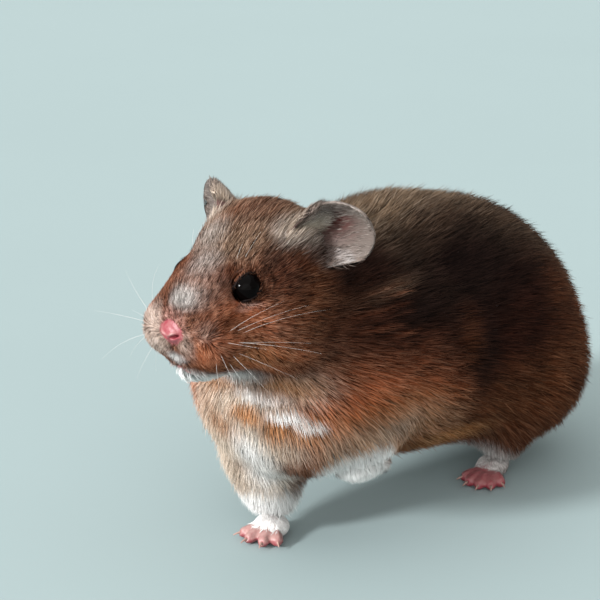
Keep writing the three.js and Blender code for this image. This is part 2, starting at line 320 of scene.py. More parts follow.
# Each row: place, lie (the way its hair points), reach, the coat's depth, the hair's length
# and how dense the locks are. A row that ends in True stands for the other side too.
HEAD_LIE = (
    ((0, 3.5, 4.6), (0, 0.8, 0.6), 2.5, 0.5, 1.3, 1.3),  # bridge of the nose
    ((0, 8, 9), (0, 0.8, 0.6), 4, 1, 2.6, 1.1),
    ((0, 15, 14), (0.05, 0.8, 0.6), 5, 1.5, 4, 1),  # forehead
    ((0, 24, 20.5), (0.05, 0.85, 0.5), 6, 2.2, 5.5, 0.9),  # crown
    ((0, 33, 21), (0, 1, 0.1), 7, 2.8, 6.5, 0.8),
    ((5.5, 12, 12.5), (0.15, 0.75, 0.65), 3.5, 0.9, 2.8, 1.1, True),  # over the eye
    ((10.5, 18.5, 9), (0.25, 0.75, 0.6), 4, 1.2, 3.6, 1.1, True),  # from the eye to the ear
    ((10.5, 23, 16), (0.35, 0.5, 0.8), 4, 1.5, 4.8, 1, True),  # before the ear
    ((9.5, 13.8, 7.1), (0.2, 0.95, 0.05), 2.8, 0.3, 1.2, 1.5, True),  # round the eye
    ((6.5, 9.5, 7.5), (0.1, 0.8, 0.6), 2.6, 0.5, 1.6, 1.3, True),  # before the eye
    ((10.5, 12.5, 2.5), (0.25, 0.95, -0.15), 3.5, 0.9, 2.6, 1.2, True),  # under the eye
    ((15.5, 20, -1), (0.15, 0.97, -0.12), 6, 1.8, 4.4, 1, True),  # cheek
    ((13.5, 19, -9), (0.1, 0.95, -0.28), 6, 1.9, 4.6, 1, True),
    ((9.5, 5.5, -1.2), (0.45, 0.88, 0.05), 3.2, 0.6, 1.9, 1.3, True),  # whisker pad
    ((7.5, 4.5, -5.8), (0.5, 0.75, -0.4), 3, 0.6, 1.8, 1.3, True),
    ((3.2, 2.4, 0.8), (0.7, 0.6, 0.35), 1.8, 0.2, 0.8, 1.6, True),  # beside the nose
    ((2.4, 2.2, -4.2), (0.7, 0.3, -0.6), 1.8, 0.3, 1.1, 1.5, True),  # upper lip
    ((0, 6.5, -12.6), (0, 0.75, -0.6), 4, 0.9, 2.9, 1.2),  # chin
    ((6, 11, -12), (0.3, 0.85, -0.4), 5, 1.6, 4.4, 1.1, True),
    ((0, 19, -15), (0, 0.75, -0.65), 7, 2.4, 6, 0.9),  # throat
    ((16, 33, -3), (0.05, 1, -0.1), 8, 3, 7, 0.75, True),  # side of the neck
    ((12, 32, 13), (0.25, 0.95, 0.15), 5, 2, 5, 0.9, True),  # behind the ear
)
BODY_LIE = (
    ((-2, -24, 76), (0, 1, 0), 9, 3.6, 8.5, 0.8),  # nape
    ((0, -5, 77), (0, 1, 0.02), 14, 4.2, 10.5, 0.7),  # back
    ((0, 22, 74), (0, 0.97, -0.25), 14, 4.2, 10.5, 0.7),
    ((0, 50, 55), (0, 0.75, -0.65), 14, 4.2, 10, 0.7),  # rump
    ((0, 61, 35), (0, 0.25, -0.97), 12, 3.6, 8.5, 0.7),
    ((22, -22, 52), (0.1, 0.98, -0.12), 12, 3.6, 8.5, 0.8, True),  # shoulder
    ((27, 5, 45), (0, 0.98, -0.16), 14, 4.2, 10, 0.75, True),  # flank
    ((25, 5, 24), (0, 0.96, -0.3), 12, 3.8, 9.5, 0.75, True),
    ((28, 32, 32), (0, 0.85, -0.5), 12, 3.8, 9, 0.7, True),  # thigh
    ((22, 38, 15), (0, 0.5, -0.85), 8, 2.6, 6.5, 0.8, True),
    ((0, 5, 12), (0, 1, -0.05), 14, 2.8, 7, 0.7),  # belly
    ((-3, -46, 38), (-0.05, 0.1, -1), 9, 3.2, 8, 0.9),  # chest
    ((18, -38, 36), (0.15, 0.55, -0.8), 9, 3.2, 8, 0.9, True),
    ((0, -36, 20), (0, 0.6, -0.8), 9, 2.8, 7, 0.9),
    ((-15, -29, 24), (-0.1, -0.05, -1), 8, 2.6, 6.5, 1),  # right foreleg
    ((-11, -28, 13), (0, -0.1, -1), 5, 1.6, 5, 1.1),
    ((-9.6, -28, 6.5), (0, -0.12, -1), 3, 0.5, 2.8, 1.4),
    ((14, -21, 29), (-0.1, -0.1, -1), 6, 2, 5, 1),  # left foreleg, lifted
    ((11.5, -25, 23.5), (-0.2, 0.2, -0.9), 3, 0.5, 2.6, 1.4),
    ((14.5, 28.5, 11), (0, -0.1, -1), 5, 1.2, 3.5, 1),  # hind legs
    ((13.4, 27.5, 5), (0, -0.3, -1), 3, 0.4, 1.6, 1.2),
    ((-16.4, 41, 11), (0, -0.1, -1), 5, 1.2, 3.5, 1),
    ((-16, 41.5, 5), (0, -0.3, -1), 3, 0.4, 1.6, 1.2),
    ((0, 54, 21), (0, 0.9, -0.4), 4, 0.6, 2.4, 1),  # tail
    ((0, 64, 17), (0, 0.9, -0.4), 3, 0.3, 1.6, 1),
)
# Where hair stands up from the rest: place in the head's frame, reach, and what it adds to the
# coat's depth and to the hair's length.
TUFTS = (
    ((11.4, 24.2, 17.0), 2.6, 4.0, 5.0),  # before the ear, over its front edge
    ((12.4, 23.6, 12.5), 2.4, 0.8, 0.4),
    ((8.6, 3.6, -1.8), 3.2, 0.5, 0.7),  # whisker pads
)
TAIL = np.array((0, 63.5, 17))  # the middle of the tail's bare end


def both_sides(body_rows, head_rows):
    """Rows of two tables, and again for the right side where a row ends in True. Each gives its
    axes and its place in the row's frame, and what else it says."""
    for rows, axes, origin in ((body_rows, np.eye(3), 0), (head_rows, HEAD_TURN, NOSE_TIP)):
        for spot, *says in rows:
            for side in SIDES if says[-1] is True else SIDES[:1]:
                turned = axes * (side, 1, 1)
                yield turned, turned @ spot + origin, says


def coat_at(points):
    """Lie (3), depth, length and density of the coat at points of the skin."""
    total, weight = np.zeros((len(points), 6)), np.full((len(points), 1), 1e-12)
    for axes, spot, (lie, reach, *coat) in both_sides(BODY_LIE, HEAD_LIE):
        away = ((points - spot) ** 2).sum(1, keepdims=True) / reach**2
        share = np.exp(-0.5 * away) + 1e-6 / (1 + away) ** 2
        total += share * (*unit(axes @ lie), *coat[:3])
        weight += share
    return total / weight


# ---------------------------------------------------------------- the skin

EYE_SPOT = np.array((7.95, 13.5, 6.7))  # in the head's frame
EYE_AXIS = unit(np.array((0.81, -0.47, 0.35)))  # the way the eye looks
EYE_WELL = 3.4  # radius of the hollow that the eye lies in
CORNER = math.radians(203)  # where the front corner of the eye is, round its opening
CORNER_REACH = 1.3  # how far it reaches beyond the rest of the opening
NARROW = 0.75  # the opening's height over its length


def eye_axes(side):
    """Middle of an eye, the way it looks, and ahead of and above it, in the head's frame."""
    axis = EYE_AXIS * (side, 1, 1)
    ahead = unit(np.array((0, -1, 0)) - axis * -axis[1])
    above = unit(np.array((0, 0, 1)) - axis * axis[2] - ahead * ahead[2])
    return EYE_SPOT * (side, 1, 1), axis, ahead, above


def opening_at(turns, sizes):
    """How far the lids' edge is from the middle of the eye, for turns round it."""
    away = np.abs((turns - CORNER + math.pi) % (2 * math.pi) - math.pi)
    oval = 1 / np.sqrt(np.cos(turns - CORNER) ** 2 + (np.sin(turns - CORNER) / NARROW) ** 2)
    return sizes.eye_opening / MM * oval + CORNER_REACH * bell(away / 0.3)


def beyond_lids(head, sizes):
    """How far points lie outside the opening of an eye, and the way out from its middle."""
    beyond, outward = np.full(len(head), 99.0), np.zeros((len(head), 3))
    for side in SIDES:
        eye, axis, ahead, above = eye_axes(side)
        off = head - eye
        turns = np.arctan2(off @ above, -(off @ ahead))
        out = np.hypot(off @ above, off @ ahead) - opening_at(turns, sizes)
        nearer = (off @ axis > 0) & (out < beyond)
        beyond = np.where(nearer, out, beyond)
        outward[nearer] = unit(off - (off @ axis)[:, None] * axis)[nearer]
    return beyond, outward


def swollen(names, grow):
    """One mesh of the named solids, each grown by some mm so that neighbours overlap."""
    joined = bmesh.new()
    for name in names:
        draft = bpy.data.meshes.new("draft")
        with edited(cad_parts[name].data, draft) as part:
            bmesh.ops.remove_doubles(part, verts=part.verts, dist=1e-6)
            part.normal_update()
            for vertex in part.verts:
                vertex.co += vertex.normal * grow * MM
        joined.from_mesh(draft)
        bpy.data.meshes.remove(draft)
    mesh = bpy.data.meshes.new("swollen")
    joined.to_mesh(mesh)
    joined.free()
    return mesh


def remeshed(names, grow, voxel):
    """The outside of the named solids as one even skin."""
    return modified(swollen(names, grow), "REMESH", mode="VOXEL", voxel_size=voxel)


def refine_face(mesh, reach):
    """Halves the edges of the faces within reach of the nose and lips, or of an eye."""
    with edited(mesh) as bm:
        head = to_head(np.array([face.calc_center_median() for face in bm.faces]) / MM)
        chosen = np.linalg.norm(head - (0, 3.5, -4), axis=1) < reach
        for side in SIDES:
            chosen |= np.linalg.norm(head - EYE_SPOT * (side, 1, 1), axis=1) < reach * 0.62
        edges = dict.fromkeys(e for face, c in zip(bm.faces, chosen) if c for e in face.edges)
        bmesh.ops.subdivide_edges(bm, edges=list(edges), cuts=1, use_grid_fill=True)
        bmesh.ops.triangulate(bm, faces=[face for face in bm.faces if len(face.verts) > 4])


FACE_MIDDLE = -0.9  # mm from the head's own middle, where the nose and the mouth are
NOSE_PAD = np.array(((FACE_MIDDLE, 2.3, -1.25), (3.1, 2.4, 2.5)))  # centre and radii, in its frame
NOSTRIL = (1.4, -1.85)  # across and up, from the middle and the tip of the nose
CHIN = np.array(((FACE_MIDDLE, 5.0, -10.8), (3.0, 3.0, 1.8)))  # centre and radii
CHIN_MOVES = np.array((0, -1.3, -0.5))
MOUTH_HALF = 4.6
PAD_END, FACE_END, CHIN_END = 4, 9, -13  # behind the tip of the nose, and under it


def in_front(head):
    """Which points are on the front of the face."""
    return (head[:, 1] < FACE_END) & (head[:, 2] > CHIN_END)


def along_mouth(head, rise, width, ends):
    """1 along a line at a height over the mouth, fading over a width and at its two ends, and
    0 behind the face."""
    across = np.abs(head[:, 0] - FACE_MIDDLE)
    mouth = -7.7 - 3.0 * np.clip(across / MOUTH_HALF, 0, 1) ** 1.3
    line = bell((head[:, 2] - mouth - rise) / width) * smooth(MOUTH_HALF - across, *ends)
    return line * (head[:, 1] < FACE_END)


def pad_reach(head):
    """How far out from the middle of the nose pad, 1 at its edge. It is widest at the
    nostrils."""
    centre, radii = NOSE_PAD
    across, up = ((head - centre) / radii).T[[0, 2]]
    narrow = 0.4 * smooth(-up, 0.2, 1) + 0.3 * smooth(up, 0.2, 1)
    return np.sqrt((across * (1 + narrow)) ** 2 + up**2)


def nostrils(head):
    """How deep in a nostril, and how far on the fold over it, from 0 to 1."""
    hole, wing = np.zeros(len(head)), np.zeros(len(head))
    for side in SIDES:
        # a slanting comma that opens to the side
        x, z = side * (head[:, 0] - FACE_MIDDLE) - NOSTRIL[0], head[:, 2] - NOSTRIL[1]
        long, short = x * 0.92 + z * 0.38, z * 0.92 - x * 0.38
        hole = np.maximum(hole, np.exp(-(((long / 0.8) ** 2 + (short / 0.3) ** 2) ** 1.5)))
        wing = np.maximum(wing, np.exp(-((long / 1.0) ** 2 + ((short - 0.62) / 0.3) ** 2)))
    return hole, wing


def carve_face(points):
    """The nose pad with its nostrils, the groove under it, the mouth and the eyes' wells."""
    head = to_head(points)
    x, y, z = head.T
    front = in_front(head)
    # the pad stands out as a low dome with a soft crease round it
    reach = pad_reach(head)
    dome = NOSE_PAD[0][1] - NOSE_PAD[1][1] * np.sqrt(np.clip(1 - reach**2, 0, 1))
    y[:] = np.where((reach < 1) & (y < PAD_END), np.minimum(y, dome), y)
    y += 0.16 * bell((reach - 1.04) / 0.12) * front
    hole, wing = nostrils(head)
    y += (1.5 * hole - 0.3 * wing) * front
    for side in SIDES:
        off = head - EYE_SPOT * (side, 1, 1)
        far = np.maximum(np.linalg.norm(off, axis=1, keepdims=True), 1e-6)
        head += np.where(far < EYE_WELL, off / far * EYE_WELL - off, 0)
    groove = bell((x - FACE_MIDDLE) / 0.24) * smooth(-z, 1.9, 2.6) * smooth(z, -8.4, -7.2)
    y += 0.55 * groove * front
    mouth = along_mouth(head, 0, 0.28, (0, 0.9))
    lower_lip = along_mouth(head, -1.0, 0.6, (0, 0.9))
    y += 0.6 * (mouth - lower_lip) * front
    centre, radii = CHIN
    head += CHIN_MOVES * np.exp(-(((head - centre) / radii) ** 2).sum(1))[:, None]
    return from_head(head)


# Where the skin of the wrists and ankles is slimmer than the coat's depth says, by how much,
# and the corners that skin fills, under the jaw and between the chest and the foreleg.
SLIMMER = (((-9.6, -28, 7.5), 3.2, 1.3), ((13.4, 27.5, 6.5), 3, 0.6), ((-16, 41.5, 6.5), 3, 0.6))
CORNERS = (((-2, -51, 46), 5), ((6, -47, 46), 5), ((-8, -41, 26), 7), ((3, -38, 24), 6))
EYE_DIP = np.array((8.55, 9.7, 6.9))  # the dip before the eye, in the head's frame
INSET_STEPS = 5


def body_depth(points):
    """How far the skin of the body lies inside its solids."""
    depth = coat_at(points)[:, 3] * 0.92 + 0.15
    for spot, reach, more in SLIMMER:
        depth += more * near(points, spot, reach)
    for side in SIDES:
        depth += 0.8 * near(to_head(points), EYE_DIP * (side, 1, 1), 1.9)
    return depth


def body_skin(sizes):
    """Skin of the head, trunk and legs, inside the solids by the coat's depth."""
    mesh = remeshed(HEAD_FLESH + TRUNK_FLESH + LEG_FLESH, 0.25, sizes.body_voxel)
    edges, points = edges_of(mesh), positions(mesh)
    muzzle = 1 - smooth(to_head(points)[:, 1], 8, 14)
    even, finer = relax(points, edges, 14), relax(points, edges, 2)
    points = even + (finer - even) * muzzle[:, None]
    corner = np.max([near(points, spot, reach) for spot, reach in CORNERS], axis=0)
    points = points + (relax(points, edges, 70) - points) * corner[:, None]
    # it sinks a little at a time, so that it stays even
    for _ in range(INSET_STEPS):
        place(mesh, points)
        points = points - normals(mesh) * body_depth(points)[:, None] / INSET_STEPS
        points = relax(points, edges, 2)
    place(mesh, points)
    for reach in (16, 8.5):
        refine_face(mesh, reach)
    place(mesh, carve_face(relax(positions(mesh), edges_of(mesh), 2)))
    return mesh


def paw_skin(name, sizes):
    mesh = remeshed([name], -0.02, sizes.paw_voxel)
    place(mesh, relax(positions(mesh), edges_of(mesh), 6))
    return mesh


# The leaf of an ear, as the solids have it: local Y runs from its base to its tip, and it
# opens towards +Z.
EAR_LENGTH = 13.5
EAR_WIDTH = 14.5
EAR_BASE = np.array((13, 28, 13.2))
EAR_AXES = {
    "ear_left": ((0.8, 0.37, 0.5), (0.5, -0.84, -0.21)),
    "ear_right": ((-0.7, 0.66, 0.12), (-0.66, -0.74, -0.1)),
}
EAR_ROWS, EAR_COLUMNS = 44, 40


def ear_frame(name):
    """Origin and axes of an ear in the row's frame."""
    axis, opening = (unit(np.array(v, float)) for v in EAR_AXES[name])
    across = unit(np.cross(axis, opening))
    axes = np.array((across, axis, np.cross(across, axis)))
    return from_head(EAR_BASE * (EARS[name], 1, 1)), axes @ HEAD_TURN.T


def in_ear(name, points):
    """Points in an ear's own frame, how far each is from its base to its tip, and its axes."""
    origin, axes = ear_frame(name)
    local = (points - origin) @ axes.T
    return local, local[:, 1] / EAR_LENGTH, axes


def ear_point(v, w):
    """The middle of the leaf, v from base to tip and w from edge to edge."""
    tip = np.sqrt(1 - np.maximum(0, (v - 0.42) / 0.58) ** 2 * 0.985)
    half = EAR_WIDTH / 2 * tip * (0.8 + 0.2 * np.minimum(1, v / 0.42))
    cup = 4.6 - 4.0 * np.maximum(v, 0) ** 1.3
    lift = cup * w * w * np.where(w < 0, 1.25, 1) - cup + 2.4 * v * v
    return np.stack((half * w, v * EAR_LENGTH, lift), -1)


def ear_skin(name, sizes):
    """Both faces of an ear's leaf with a rolled rim, its base sunk into the head."""
    origin, axes = ear_frame(name)
    grid = (np.linspace(-0.3, 1, EAR_ROWS), np.cos(np.linspace(math.pi, 0, EAR_COLUMNS)))
    v, w = np.meshgrid(*grid, indexing="ij")
    middle = ear_point(np.minimum(v, 0.999), w)
    out = unit(np.cross(np.gradient(middle, axis=1), np.gradient(middle, axis=0)))
    out *= np.sign(out[..., 2:3] + 1e-9)
    rim = np.sqrt(np.maximum(1 - w**8, 0)) * np.sqrt(np.maximum(1 - np.maximum(v, 0) ** 14, 0))
    rim = rim[..., None]
    thick = sizes.ear_thickness / MM / 2 * rim
    # ridges run from the base to the leaf's edge inside the hollow
    ridge = 0.22 * bell((w - 0.35 - 0.2 * v) / 0.12) * smooth(0.75 - v, 0, 0.5)
    ridge += 0.3 * bell((w + 0.3 + 0.25 * v) / 0.16) * smooth(0.6 - v, 0, 0.45)
    inner, outer = middle + out * (thick + ridge[..., None] * rim), middle - out * thick
    ring = np.concatenate((inner, outer[:, ::-1]), axis=1)
    around = 2 * EAR_COLUMNS
    local, faces = ring.reshape(-1, 3), grid_faces(EAR_ROWS, around)
    # both ends close on one point
    tip, base = len(local), len(local) + 1
    last = tip - around
    faces += [[last + j, last + (j + 1) % around, tip] for j in range(around)]
    faces += [[(j + 1) % around, j, base] for j in range(around)]
    ends = (ear_point(np.array(1.0), np.array(0.0)), local[:around].mean(0))
    return np.vstack((local, ends)) @ axes + origin, faces


# Rings of a lid, in mm: how far each lies out from the opening's edge, and how far it stands
# over the eyeball, over the skin of the face, or is sunk behind the middle of the eye.
LID_ON_BALL = ((-0.1, -0.25), (0, 0.03), (0.06, 0.1), (0.14, 0.1), (0.24, 0.0))
LID_ON_FACE = ((0.9, -0.08), (1.9, -0.5))
LID_BEHIND = ((1.6, 1.0), (-0.1, 0.4))
LID_COLUMNS = 72


def lid_skin(side, sizes, skin_tree):
    """A soft ring round the eye: its inner edge lies on the eyeball and its outer edge
    runs under the skin of the face."""
    eye, axis, ahead, above = eye_axes(side)
    # turns run from behind the eye, over it, to its front corner
    turns = np.linspace(0, 2 * math.pi, LID_COLUMNS, endpoint=False)
    opening = opening_at(turns, sizes)[:, None]
    out = -np.cos(turns)[:, None] * ahead + np.sin(turns)[:, None] * above
    ball = np.sqrt(np.maximum((sizes.eye_radius / MM) ** 2 - opening**2, 0.15))
    rings = [
        eye + out * (opening + step) + axis * (ball + rise) for step, rise in LID_ON_BALL
    ]
    inwards = -(HEAD_TURN @ axis)
    for step, rise in LID_ON_FACE:
        found = []
        for spot in from_head(eye + out * (opening + step) + axis * 6):
            hit = skin_tree.ray_cast(Vector(spot), Vector(inwards), 12)[0]
            found.append(np.array(hit) if hit else spot + inwards * 6)
        rings.append(to_head(np.array(found)) + axis * rise)
    for step, sunk in LID_BEHIND:
        rings.append(eye + out * (opening + step) - axis * sunk)
    return from_head(np.concatenate(rings)), grid_faces(len(rings), LID_COLUMNS, closed=True)


def tree_of(mesh):
    """A search tree of a mesh, in millimetres."""
    return BVHTree.FromPolygons([Vector(p) for p in positions(mesh)], faces_of(mesh))


PARTS = {"body": 0, "paw": 1, "ear_left": 2, "ear_right": 3, "lid": 4}


def joined_mesh(name, shells):
    """One mesh from (points in mm, faces, part) with the part kept for each vertex."""
    points, faces, parts = [], [], []
    for some_points, some_faces, part in shells:
        faces += [[len(parts) + i for i in face] for face in some_faces]
        points += list(some_points)
        parts += [PARTS[part]] * len(some_points)
    mesh = bpy.data.meshes.new(name)
    mesh.from_pydata((np.array(points) * MM).tolist(), [], faces)
    mesh.attributes.new("part", "INT", "POINT").data.foreach_set("value", parts)
    with edited(mesh) as bm:
        bmesh.ops.recalc_face_normals(bm, faces=bm.faces)
    return mesh


def unwrap(obj):
    """Unwraps a piece by the turns of its own surface into the map that bakes use."""
    bpy.context.view_layer.objects.active = obj
    for other in bpy.context.selected_objects:
        other.select_set(False)
    obj.select_set(True)
    obj.data.uv_layers.new(name="OFBake")
    bpy.ops.object.mode_set(mode="EDIT")
    bpy.ops.mesh.select_all(action="SELECT")
    bpy.ops.uv.smart_project(angle_limit=math.radians(66), island_margin=0.002)
    bpy.ops.object.mode_set(mode="OBJECT")
    obj.select_set(False)


def paw_places(name, points, is_paw):
    """Which points are of a paw, and how far each is out on its toes."""
    low, high = (np.array(c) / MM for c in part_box(name))
    mine = is_paw & (points > low - 1).all(1) & (points < high + 1).all(1)
    heel = ((low[0] + high[0]) / 2, high[1] - 2)
    out = np.hypot(points[:, 0] - heel[0], points[:, 1] - heel[1])
    return mine, smooth(out / (high[1] - low[1] - 2), 0.42, 0.62)


def bare_shares(mesh):
    """For each vertex, how far it is bare flesh and ear leaf, and how far its colour is deepened,
    from 0 to 1: partly the skin's own deeper pink and veins, and partly painted shade in the
    nostrils, under the paws and in the ears' hollows, less a painted highlight on the folds
    over the nostrils."""
    points, outward, part = positions(mesh), normals(mesh), parts_of(mesh)
    head = to_head(points)
    x, y, z = head.T
    front = in_front(head) & (part == PARTS["body"])
    flesh = (1 - smooth(pad_reach(head), 1.0, 1.3)) * (y < PAD_END)
    lip = along_mouth(head, -0.8, 0.9, (-0.5, 1.5))
    stem = bell((x - FACE_MIDDLE) / 0.6) * smooth(z, -8, -7) * (z < -2)
    flesh = np.maximum(flesh, np.maximum(lip * 0.85, stem * 0.7)) * front
    hole, wing = nostrils(head)
    # painted shade deep in the nostrils and a painted highlight on the folds over them, over the
    # nose's own deep pink
    deep_colour_and_shade = np.clip(0.84 + hole - 0.45 * wing - 0.1 * lip, 0, 1) * front
    # the backs of the paws are covered in white hair down to the toes
    is_paw = part == PARTS["paw"]
    back = smooth(outward[:, 2], 0.0, 0.6)
    for name in PAWS:
        mine, toes = paw_places(name, points, is_paw)
        flesh[mine] = (1 - 0.6 * back * (1 - toes))[mine]
    # the hind toes are painted redder and darker, partly their own deeper pink and partly painted
    # shade, and on every paw the skin that faces down is painted deeper as painted shade
    top = smooth(outward[:, 2], -0.1, 0.7)
    paw_pink_and_shade = np.where(points[:, 1] > 0, 1 - 0.3 * top, 0.8 - 0.55 * top)
    deep_colour_and_shade = np.where(is_paw, paw_pink_and_shade, deep_colour_and_shade)
    leaf = np.zeros(len(points))
    for name, side in EARS.items():
        mine = part == PARTS[name]
        local, v, _ = in_ear(name, points)
        # painted shade: the dark red hollow runs up the ear's front half, on skin that is redder
        # there
        near_axis = bell((local[:, 0] * side + 2.4) / 4.4)
        leaf[mine] = 1
        # veins and folds run from the hollow to the leaf's edge
        streaks = waves(local * (1, 0.12, 0.6), 2.2, SEED)[:, 0] * 0.16 * (1 - smooth(v, 0.7, 1))
        hollow = near_axis * (1 - smooth(v, 0.5, 0.95))
        deep_colour_and_shade[mine] = np.clip(hollow + streaks * (0.5 + near_axis), 0, 1)[mine]
    return np.stack((flesh, leaf, deep_colour_and_shade), 1)


class HAMSTER_OT_skin(bpy.types.Operator):
    """Makes one skin for the whole animal, in place of the solids of flesh"""

    bl_idname = "hamster.skin"
    bl_label = "Skin"

    def execute(self, context):
        sizes, colours = settings()
        body = body_skin(sizes)
        tree = tree_of(body)
        shells = [(positions(body), faces_of(body), "body")]
        for name in PAWS:
            paw = paw_skin(name, sizes)
            shells.append((positions(paw), faces_of(paw), "paw"))
        shells += [(*ear_skin(name, sizes), name) for name in EARS]
        shells += [(*lid_skin(side, sizes, tree), "lid") for side in SIDES]
        made = (skin_material(colours), lid_material(colours))
        skin = piece("skin", joined_mesh("skin", shells), *made)
        unwrap(skin)
        add_vectors(skin.data, "bare", bare_shares(skin.data))
        beyond, _ = beyond_lids(to_head(positions(skin.data)), sizes)
        of_lid = (parts_of(skin.data) == PARTS["lid"]) & (beyond < 0.28)
        for face in skin.data.polygons:
            face.material_index = int(of_lid[face.vertices[0]])
        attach(skin, "root")
        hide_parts(*HEAD_FLESH, *TRUNK_FLESH, *LEG_FLESH, *PAWS, *EARS)
        return {"FINISHED"}


# ---------------------------------------------------------------- the coat

# In mm behind the tip of the nose, and over it.
HEAD_END, HEAD_UNDER = 31, -20  # where the head's locks end
FACE_BARE_END = 20  # where no more of the face is bare
WHISKER_PAD = np.array((8.2, 3.2, -1.6))  # its middle, in the head's frame
PAW_COAT = (0.2, 1.5, 0.17)  # depth, length and width
LIFTED_COAT = (1.4, 4.0, 0.2)  # the same for the paw drawn up into the fur of the chest
ROOT_SINK = 0.12  # mm that a root lies under the skin
PATCH = 0.003  # of the map, for one lock
LOCKS_IN_A_PIECE = 32000
# A lock's corners are its root, three round its bend and its tip.
RING = ((0.0, 0.55), (-0.87, -0.28), (0.87, -0.28))  # section at the bend: across and up
LOCK_FACES = ((0, 2, 1), (0, 3, 2), (0, 1, 3), (1, 2, 4), (2, 3, 4), (3, 1, 4))
LOCK_CORNERS = 5
BEND = 0.45  # how far along a lock its bend is
BEND_RISE = 0.6  # the bend's height over the skin, as a share of the tip's
# Locks differ in length, height and width, as shares of what the skin says.
LONG, HIGH, WIDE = (0.7, 1.12), (0.85, 1.2), (0.75, 1.25)
LEANS = ((5.0, 0.2), (1.7, 0.14))  # neighbours lean together: wavelength in mm, and how far
LONE_LEAN = 0.1  # how far each leans on its own


def face_bare(head, sizes):
    """0 where the face has no hair: the nose pad, the lips' edge and the eyes."""
    hair = np.where(head[:, 1] < PAD_END, smooth(pad_reach(head), 0.84, 1.15), 1)
    hair *= 1 - 0.95 * along_mouth(head, -0.8, 0.7, (0, 1.5))
    return hair * smooth(beyond_lids(head, sizes)[0], 0.05, 0.3)


def coat_fields(mesh, sizes):
    """For each vertex of the skin: its place, the way out, whether it is of the head, and the
    lie, depth, length, density and width of the locks there."""
    points, outward, part = positions(mesh), normals(mesh), parts_of(mesh)
    fields = coat_at(points)
    lie, (depth, hair, density) = fields[:, :3], fields[:, 3:].T
    head = to_head(points)
    is_head = (head[:, 1] < HEAD_END) & (part != PARTS["paw"]) & (head[:, 2] > HEAD_UNDER)
    width = sizes.hair_width / MM * np.clip(hair / 9, 0.55, 1)
    width = np.where(is_head, sizes.face_hair_width / MM * np.clip(hair / 3, 0.6, 1.25), width)
    on_face = head[:, 1] < FACE_BARE_END
    density = np.where(on_face, density * face_bare(head, sizes), density)
    # round the eyes it points away from their opening
    beyond, away = beyond_lids(head, sizes)
    by_eye = 0.9 * np.exp(-0.5 * (np.maximum(beyond, 0) / 1.3) ** 2)
    lie = lie * (1 - by_eye[:, None]) + (away @ HEAD_TURN.T) * by_eye[:, None]
    depth, hair = depth * (1 - 0.5 * by_eye), hair * (1 - 0.35 * by_eye)
    # paws: the back of the foot down to the knuckles has short white hair
    for name in PAWS:
        mine, toes = paw_places(name, points, part == PARTS["paw"])
        density[mine] = (3.5 * smooth(outward[:, 2], -0.3, 0.3) * (1 - toes))[mine]
        depth[mine], hair[mine], width[mine] = PAW_COAT
        if name == "forepaw_left":
            density[mine] = 3.0
            depth[mine], hair[mine], width[mine] = LIFTED_COAT
    # the muzzle's short hair fans out from the middle of each whisker pad
    for side in SIDES:
        pad = WHISKER_PAD * (side, 1, 1)
        fan = near(head, pad, 2.6) * 0.9
        lie = lie + (unit(head - pad) @ HEAD_TURN.T) * fan[:, None]
        for spot, reach, rise, more in TUFTS:
            tuft = near(head, np.array(spot) * (side, 1, 1), reach)
            depth, hair = depth + rise * tuft, hair + more * tuft
    for name, side in EARS.items():
        mine = part == PARTS[name]
        local, v, axes = in_ear(name, points)
        inside = outward @ axes[2] > 0.15
        edge = smooth(v, 0.82, 0.97) + smooth(np.abs(local[:, 0]) / (EAR_WIDTH / 2), 0.86, 0.97)
        base = smooth(0.45 - v, 0, 0.3)
        front = base * smooth(-local[:, 0] * side, 1, 5)
        thin = 1.4 * front + 2.8 * np.clip(edge, 0, 1) * smooth(v, 0.2, 0.4) + 0.35
        density[mine] = (np.where(inside, thin, 1.5) * smooth(v, -0.12, 0.0))[mine]
        depth[mine] = np.where(inside, 0.3 + 0.9 * base, 0.22 + 0.8 * base)[mine]
        hair[mine] = np.where(inside, 2.8 + 2.6 * front, 1.8 + 2.2 * base)[mine]
        width[mine] = np.where(inside, 0.07 + 0.05 * base, 0.14)[mine]
        lie[mine] = ((local * (0.06, 0, 0) + (0, 1, 0)) @ axes)[mine]
    # the tail has only short hair, and so has the edge of the upper lip, which shows the lower
    tail = np.exp(-((((points - TAIL) / (4, 6, 4)) ** 2).sum(1) ** 2))
    lip = along_mouth(head, 0.3, 1.3, (-1, 0.5))
    depth, hair = depth * (1 - 0.5 * tail), hair * (1 - 0.75 * tail) * (1 - 0.65 * lip)
    lie = level(relax(unit(lie), edges_of(mesh), 4), outward)
    return points, outward, is_head, lie, depth[:, None], hair[:, None], density, width[:, None]


def triangles(mesh):
    """Corner vertices of a mesh's triangles, and their places in its map."""
    mesh.calc_loop_triangles()
    corners, loops = (column(mesh.loop_triangles, n, 3, np.int32) for n in ("vertices", "loops"))
    return corners, column(mesh.uv_layers["OFBake"].uv, "vector", 2)[loops]


def sampled(weights, count, rng):
    """Indices drawn evenly by weight."""
    total = np.cumsum(weights)
    picks = (np.arange(count) + rng.uniform(size=count)) / count * total[-1]
    return np.searchsorted(total, picks)


def follow(tree, points, heights):
    """Points laid at a height over the nearest skin, and the skin's normals there."""
    laid, outward = np.empty_like(points), np.empty_like(points)
    for i, point in enumerate(points):
        laid[i], outward[i] = tree.find_nearest(Vector(point))[:2]
    return laid + outward * heights, outward


def lock_patch():
    """Places of the corners of a lock's faces in its own patch of the map. They run round the
    lock across the patch, and from its root to its tip along it."""
    along = (0.02, BEND, BEND, BEND, 0.98)
    turns = {1: 0.0, 2: 1 / 3, 3: 2 / 3}
    spots = []
    for face in LOCK_FACES:
        lanes = [turns[i] for i in face if i in turns]
        if max(lanes) - min(lanes) > 0.5:
            lanes = [lane if lane > 0.5 else 1.0 for lane in lanes]
        middle = sum(lanes) / 2
        given = iter(lanes)
        spots += [(next(given) if i in turns else middle, along[i]) for i in face]
    return np.array(spots)[None] * PATCH


